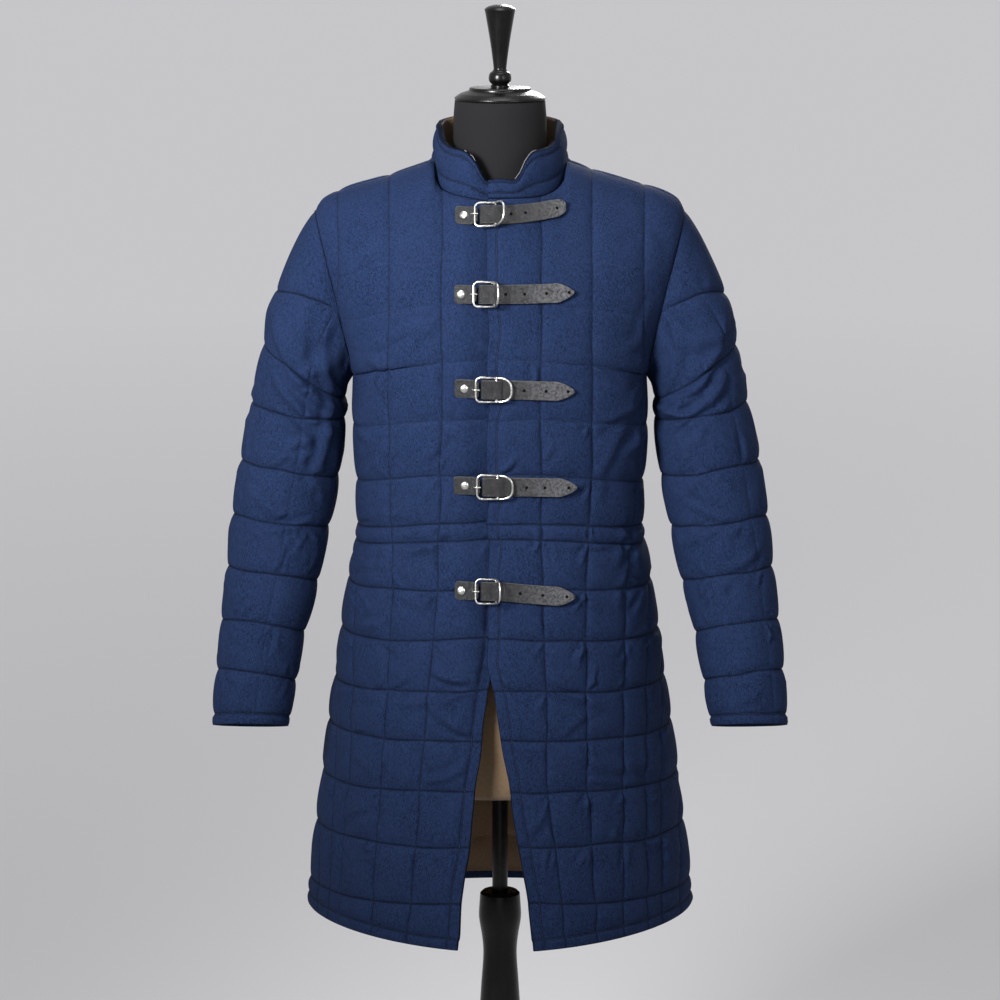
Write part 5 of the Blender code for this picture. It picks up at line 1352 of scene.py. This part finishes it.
def leatherStrip(name, node, path, heightAt, holes=()):
    # a strip with rounded edges along a path of x, lift off the cloth and half width
    thick = fastening["thick"] / 2
    up = wayUp(heightAt(0.0))
    seats = [seatAt(x, heightAt(x), up) for x, lift, half in path]
    middles = [seat + out * (step[1] + thick) for (seat, out), step in zip(seats, path)]
    fine = throughPoints(np.column_stack([middles, [step[2] for step in path]]), 5)
    middles, halves = fine[:, :3], fine[:, 3]
    across = unit(np.cross(unit(np.gradient(middles, axis=0)), up))
    bm = bmesh.new()
    edgeLayer, paleLayer = bm.verts.layers.float.new("edge"), bm.verts.layers.float.new("pale")
    rings = []
    for k in range(len(middles)):
        ring, edges = newRing(bm, [middles[k] + up * halves[k] * wide + across[k] * thick * deep
                                   for wide, deep in stripOutline])
        for vert, (wide, deep) in zip(ring, stripOutline):
            vert[edgeLayer] = eased(0.8, 1.0, abs(wide))
            vert[paleLayer] = float(eased(0.62, 0.95, k / len(middles))) if holes else 0.15
        rings.append(edges)
    bridged(bm, rings)
    newPiece(name, bm, darkLeather, "leather", node)
    made = []
    for x in holes:  # only the outer half of a strap is punched
        far = np.arange(len(middles)) <= len(middles) * 0.5
        k = int(np.argmin(np.where(far, math.inf, np.abs(middles[:, 0] - x))))
        face = across[k] if across[k][1] < 0 else -across[k]
        made.append((middles[k] + face * thick, face))
    return made


def makeStrap(index):
    looks, at = fastening, fastenings[index]
    half, taper, tipX = looks["strapHalf"], looks["taper"], at["tipX"]
    bar = at["buckleX"] + looks["loopLength"]
    turn = at["buckleX"] + looks["window"]  # the fold nearly fills the buckle's window
    over = looks["barHeight"] + looks["wire"] + looks["clear"]
    tail = looks["thick"] + looks["clear"] - at["sunk"]
    path = [(x, -at["sunk"]) for x in (*looks["stations"][::-1], 0.01)]
    path += [
        (bar - 0.004, 0.0), (turn + 0.006, 0.0), (turn + 0.002, 0.0003), (turn + 0.0002, 0.0014),
        (turn, 0.003), (turn + 0.0012, 0.0045), (turn + 0.005, 0.0054), (bar - 0.005, over - 0.0012),
        (bar - 0.0015, over), (bar + 0.0012, over + 0.0002), (bar + 0.005, over - 0.0018),
        (bar + 0.01, tail + 0.0004),
    ]
    path += [(x, tail) for x in looks["stations"]]
    ending = ((taper, 1.0), (taper * 0.4, 0.62), (0.0, 0.14))
    if index == 0:  # the top strap ends in a rounded tip
        ending = ((0.015, 1.0), (0.008, 0.94), (0.0035, 0.76), (0.001, 0.5), (0.0, 0.22))
    path = [(*step, half) for step in path] + [(tipX - back, tail, half * share) for back, share in ending]

    def heightAt(x):
        return at["height"] + at["rise"] * max(x, 0.0) / tipX

    return leatherStrip(f"strap{index + 1}", f"strap_{index + 1}", path, heightAt, strapHoles[index])


def makeTab(index):
    looks, at = fastening, fastenings[index]
    under = looks["barHeight"] - looks["wire"] - looks["thick"] - 2 * looks["clear"]
    bar = at["buckleX"] + looks["wire"]
    beyond = bar + looks["wire"] + looks["thick"] / 2 + looks["clear"]
    half, left, sunk = looks["tabHalf"], looks["tabLeft"], at["tabSunk"]
    path = [
        (left, -sunk, half * (0.9 if index == 3 else 0.72)), (left + 0.0035, -sunk, half),
        (at["rivetX"] + 0.006, -sunk, half), (bar - 0.003, under, half), (bar + 0.0008, under, half * 0.84),
        (beyond - 0.0006, under + 0.0012, half * 0.8), (beyond + 0.0002, under + 0.0034, half * 0.76),
    ]
    leatherStrip(f"tab{index + 1}", f"tab_{index + 1}", path, lambda x: at["height"])


def bentWire(bm, path, radius, around=12):
    # a round wire along a path, as rings of points bridged to each other
    path = np.asarray(path, float)
    along = np.roll(path, -1, axis=0) - np.roll(path, 1, axis=0)
    along[0], along[-1] = path[1] - path[0], path[-1] - path[-2]
    along = unit(along)
    side = unit(np.cross(along, np.array((0.13, -0.97, 0.2))))
    up = np.cross(side, along)
    turns = 2 * math.pi * np.arange(around)[:, None] / around
    bridged(bm, [
        newRing(bm, path[k] + (side[k] * np.cos(turns) + up[k] * np.sin(turns)) * radius)[1]
        for k in range(len(path))
    ])


def makeBuckle(index):
    # a bar with a square bend of wire on one side and a round one, tipped up, on the other
    looks, at = fastening, fastenings[index]
    up, tipUp = wayUp(at["height"]), math.radians(at["tipUp"])
    seat, out = seatAt(at["buckleX"] + looks["loopLength"] / 2, at["height"], up)
    along = unit(np.cross(up, out))
    along = along if along[0] > 0 else -along
    atBar = seat + along * looks["loopLength"] / 2 + out * looks["barHeight"]

    def place(a, b, rise=0.0):
        return atBar + along * a + up * b + out * rise

    half, corner, wire = looks["loopHalf"], looks["corner"], looks["wire"]
    if index == 4:  # the lowest buckle is bent from thinner wire
        wire *= looks["lowestWire"]
    length, end = looks["loopLength"] - looks["wire"], half - looks["barEnd"]
    square = [place(0.0, end)]
    for b, start in ((half - corner, 90), (-half + corner, 180)):
        for step in range(9):
            turn = math.radians(start + step * 11.25)
            square.append(place(-length + corner * (1 + math.cos(turn)), b + corner * math.sin(turn)))
    bm = bmesh.new()
    bentWire(bm, square + [place(0.0, -end)], wire)
    bentWire(bm, [place(0.0, b) for b in np.linspace(-end, end, 6)], wire * 0.95)
    for b in (-end, end):
        joint = Matrix.Translation(Vector(place(0.0, b)))
        bmesh.ops.create_icosphere(bm, subdivisions=2, radius=wire * 1.12, matrix=joint)
    loop = []
    for turn in np.radians(np.arange(-90, 97.5, 7.5)):
        a = looks["roundReach"] * signedPower(math.cos(turn), looks["roundSquare"])
        b = end * signedPower(math.sin(turn), looks["roundSquare"])
        loop.append(place(a * math.cos(tipUp), b, a * math.sin(tipUp)))
    bentWire(bm, loop, wire * 0.97)
    newPiece(f"buckle{index + 1}", bm, nickelWire, "nickel", f"buckle_{index + 1}")


def makeProng(index):
    at = fastenings[index]
    up, path = wayUp(at["height"]), []
    for a, lift in prongPath:
        seat, out = seatAt(at["buckleX"] + fastening["wire"] + a, at["height"], up)
        path.append(seat + out * (fastening["barHeight"] + lift))
    bm = bmesh.new()
    bentWire(bm, throughPoints(path, 6), fastening["prong"])
    newPiece(f"prong{index + 1}", bm, nickelWire, "nickel", f"prong_{index + 1}")


def makeRivet(index):
    # domed head; the top one is squarish and the lowest is slotted like a screw
    looks, at = fastening, fastenings[index]
    seat, out = seatAt(at["rivetX"], at["height"], wayUp(at["height"]))
    radius, tall = looks["rivet"], looks["rivetHeight"]
    bm = bmesh.new()
    spun(bm, [(radius * share, tall * up) for share, up in rivetProfile], 32)
    for vert in bm.verts:
        x, y, z = vert.co
        reach = max(abs(x + y), abs(x - y)) / math.sqrt(2)
        if index == 0 and reach > 0:
            vert.co.xy *= 0.55 + 0.45 * looks["topRivet"] * math.hypot(x, y) / reach
        if index == 4 and abs(x + 0.25 * y) < looks["slotHalf"] and z > -tall * 0.1:
            vert.co.z -= looks["slot"]
    settled(bm, out, seat + out * (looks["thick"] + seamGap + tall / 2 - at["tabSunk"]))
    newPiece(f"rivet{index + 1}", bm, nickelWire, "nickel", f"rivet_{index + 1}")


def makeHoles(places):
    # each hole is a sunk disc painted nearly black as the shade inside it, with a pressed rim round it
    bm = bmesh.new()
    for place, out in places:
        fresh = bmesh.new()
        spun(fresh, [(fastening["hole"] * share, up) for share, up in holeProfile], 20)
        settled(fresh, out, place)
        addTo(bm, fresh)
    newPiece("strapEyelets", bm, paintedHoleShade, "leather")


allHoles = []
for index in range(len(fastenings)):
    allHoles += makeStrap(index)
    for make in (makeTab, makeBuckle, makeProng, makeRivet):
        make(index)
makeHoles(allHoles)
print("straps, tabs and buckles on")

stitchLooks = {"length": 0.0026, "every": 0.0034, "half": 0.00036, "sink": -0.0001}
quiltStitchLooks = {"length": 0.0026, "every": 0.004, "half": 0.0003, "sink": -0.00022}
cordLooks = {"radius": 0.0005, "out": 0.0005, "up": 0.0003, "from": 0.018, "to": 0.046}


def seamRuns(grid, rowsAt=(), columnsAt=()):
    # seam lines of a grid as runs of points and outward directions
    outer = grid["outer"]
    normals = unit(np.cross(np.gradient(outer, axis=1), np.gradient(outer, axis=0)))
    facing = np.sum(normals * (outer - grid["inner"]), axis=-1, keepdims=True)
    normals = np.where(facing > 0, normals, -normals)
    rows = np.searchsorted(grid["rows"], np.array(rowsAt, float) - 1e-9)
    columns = np.searchsorted(grid["columns"], np.array(columnsAt, float) - 1e-9) if len(columnsAt) else ()
    return [(outer[i], normals[i]) for i in rows] + [(outer[:, j], normals[:, j]) for j in columns]


def sewAlong(name, runs, looks):
    # short pointed beads of thread laid end to end along the runs
    bm = bmesh.new()
    for places, outs in runs:
        lengths = runLengths(places)
        at = np.arange(looks["every"], lengths[-1] - looks["every"], looks["every"])
        if len(at) < 2:
            continue
        middles = np.stack([np.interp(at, lengths, places[:, c]) for c in range(3)], axis=-1)
        ups = np.stack([np.interp(at, lengths, outs[:, c]) for c in range(3)], axis=-1)
        fresh = bmesh.new()
        for middle, way, up in zip(middles, unit(np.gradient(middles, axis=0)), unit(ups)):
            side = np.cross(way, up)
            turn = np.column_stack([side * looks["half"], up * looks["half"], way * looks["length"] / 2])
            placed = Matrix.Translation(Vector(middle + up * looks["sink"])) @ Matrix(turn.tolist()).to_4x4()
            bmesh.ops.create_cone(fresh, cap_ends=True, segments=4, radius1=1.0, radius2=0.7, depth=2.0,
                                  matrix=placed)
        addTo(bm, fresh)
    print(name, len(bm.faces), "faces")
    newPiece(name, bm, navyThread, "quilted_cloth")


def edgeCollar():
    # a pale cord along the cut-away front edges of the collar
    looks, bm = cordLooks, bmesh.new()
    top, outer = collarGrid["inner"][-1], collarGrid["outer"][-1]
    cord = top + looks["out"] * unit(outer - top) + (0.0, 0.0, looks["up"])
    reach = np.abs(top[:, 0])
    cutAway = (reach > looks["from"]) & (reach < looks["to"]) & (top[:, 1] < 0.0)
    order, middle = np.arange(len(top)), len(top) / 2
    for side in (order < middle, order > middle):
        bentWire(bm, cord[cutAway & side][::2], looks["radius"], 8)
    newPiece("collarEdging", bm, paleCord, "quilted_cloth")


topstitch = seamRuns(leftFront, (1,), (1,)) + seamRuns(rightFront, (1,), (1,)) + seamRuns(backPanel, (1,))
topstitch += seamRuns(leftSleeve, (9,)) + seamRuns(rightSleeve, (9,)) + seamRuns(collarGrid, (1, 2))
sewAlong("topstitching", topstitch, stitchLooks)
quiltThread = []
for grid in (leftFront, rightFront, backPanel):
    quiltThread += seamRuns(grid, range(2, topRow), range(2, int(grid["columns"][-1])))
for grid in (leftSleeve, rightSleeve):
    quiltThread += seamRuns(grid, range(1, 9), range(1, 7))
sewAlong("quiltStitching", quiltThread, quiltStitchLooks)
edgeCollar()
print("seams sewn")

studio = {
    # the floor's colour runs from the darker near one to the paler far one; the difference is painted light
    # and shade
    "floor": (0.9, 0.89, 0.91), "nearFloorPaintedShade": (0.69, 0.685, 0.695), "sky": (0.95, 0.95, 0.965),
    "skyStrength": 0.66, "cameraAt": (0.0, -5.4, 1.99), "lookDown": 9.9, "lens": 154.17,
    "aim": (0.0, 0.0, 1.32),
    "floorHalf": 60.0, "floorUnder": 0.0005, "farFloor": 20.0,
}
# Each light's place, size, power and spread in degrees.
lights = {
    "key": ((-1.25, -2.15, 2.05), 0.7, 12.5, 44.0), "fill": ((1.9, -2.6, 2.0), 1.2, 2.0, 46.0),
    "top": ((0.0, -0.2, 3.4), 1.2, 3.0, 50.0), "back": ((0.5, 2.5, 2.4), 0.8, 5.0, 44.0),
}


def linked(name, data):
    obj = bpy.data.objects.new(name, data)
    bpy.context.scene.collection.objects.link(obj)
    return obj


def makeStage():
    # a floor painted darker near the stand and paler further off, as painted light and shade, so the far
    # floor high in view is brighter
    bm = bmesh.new()
    made = bmesh.ops.create_grid(bm, x_segments=24, y_segments=24, size=studio["floorHalf"])["verts"]
    bmesh.ops.translate(bm, verts=made, vec=(0.0, 0.0, -studio["floorUnder"]))
    mesh = bpy.data.meshes.new("floor")
    bm.to_mesh(mesh)
    bm.free()
    material, paint = newFinish("paleFloor")
    length = paint.add("VectorMath", {0: paint.place()}, operation="LENGTH").outputs["Value"]
    away = paint.maths("DIVIDE", length, studio["farFloor"])
    colour = paint.ramp(away, (0.05, studio["nearFloorPaintedShade"]), (0.5, studio["floor"]))
    paint.put(paint.shader.inputs["Base Color"], colour)
    paint.put(paint.shader.inputs["Roughness"], 0.95)
    mesh.materials.append(material)
    linked("floor", mesh)


def makeLight(name):
    place, size, power, spread = lights[name]
    data = bpy.data.lights.new(name + "Light", "AREA")
    data.size, data.energy, data.spread = size, power, math.radians(spread)
    light = linked(name + "Light", data)
    light.location = place
    light.rotation_euler = (Vector(studio["aim"]) - Vector(place)).to_track_quat("-Z", "Y").to_euler()


makeStage()
for name in lights:
    makeLight(name)
world = bpy.data.worlds.new("softSky")
world.use_nodes = True
world.node_tree.nodes["Background"].inputs["Color"].default_value = (*studio["sky"], 1.0)
world.node_tree.nodes["Background"].inputs["Strength"].default_value = studio["skyStrength"]
bpy.context.scene.world = world
bpy.context.scene.view_settings.view_transform = "Standard"

cameraData = bpy.data.cameras.new("studioCamera")
cameraData.lens = studio["lens"]
cameraData.sensor_width = 36.0
camera = linked("studioCamera", cameraData)
camera.location = studio["cameraAt"]
camera.rotation_euler = (math.radians(90 - studio["lookDown"]), 0.0, 0.0)
bpy.context.scene.camera = camera
print("stage and camera set")
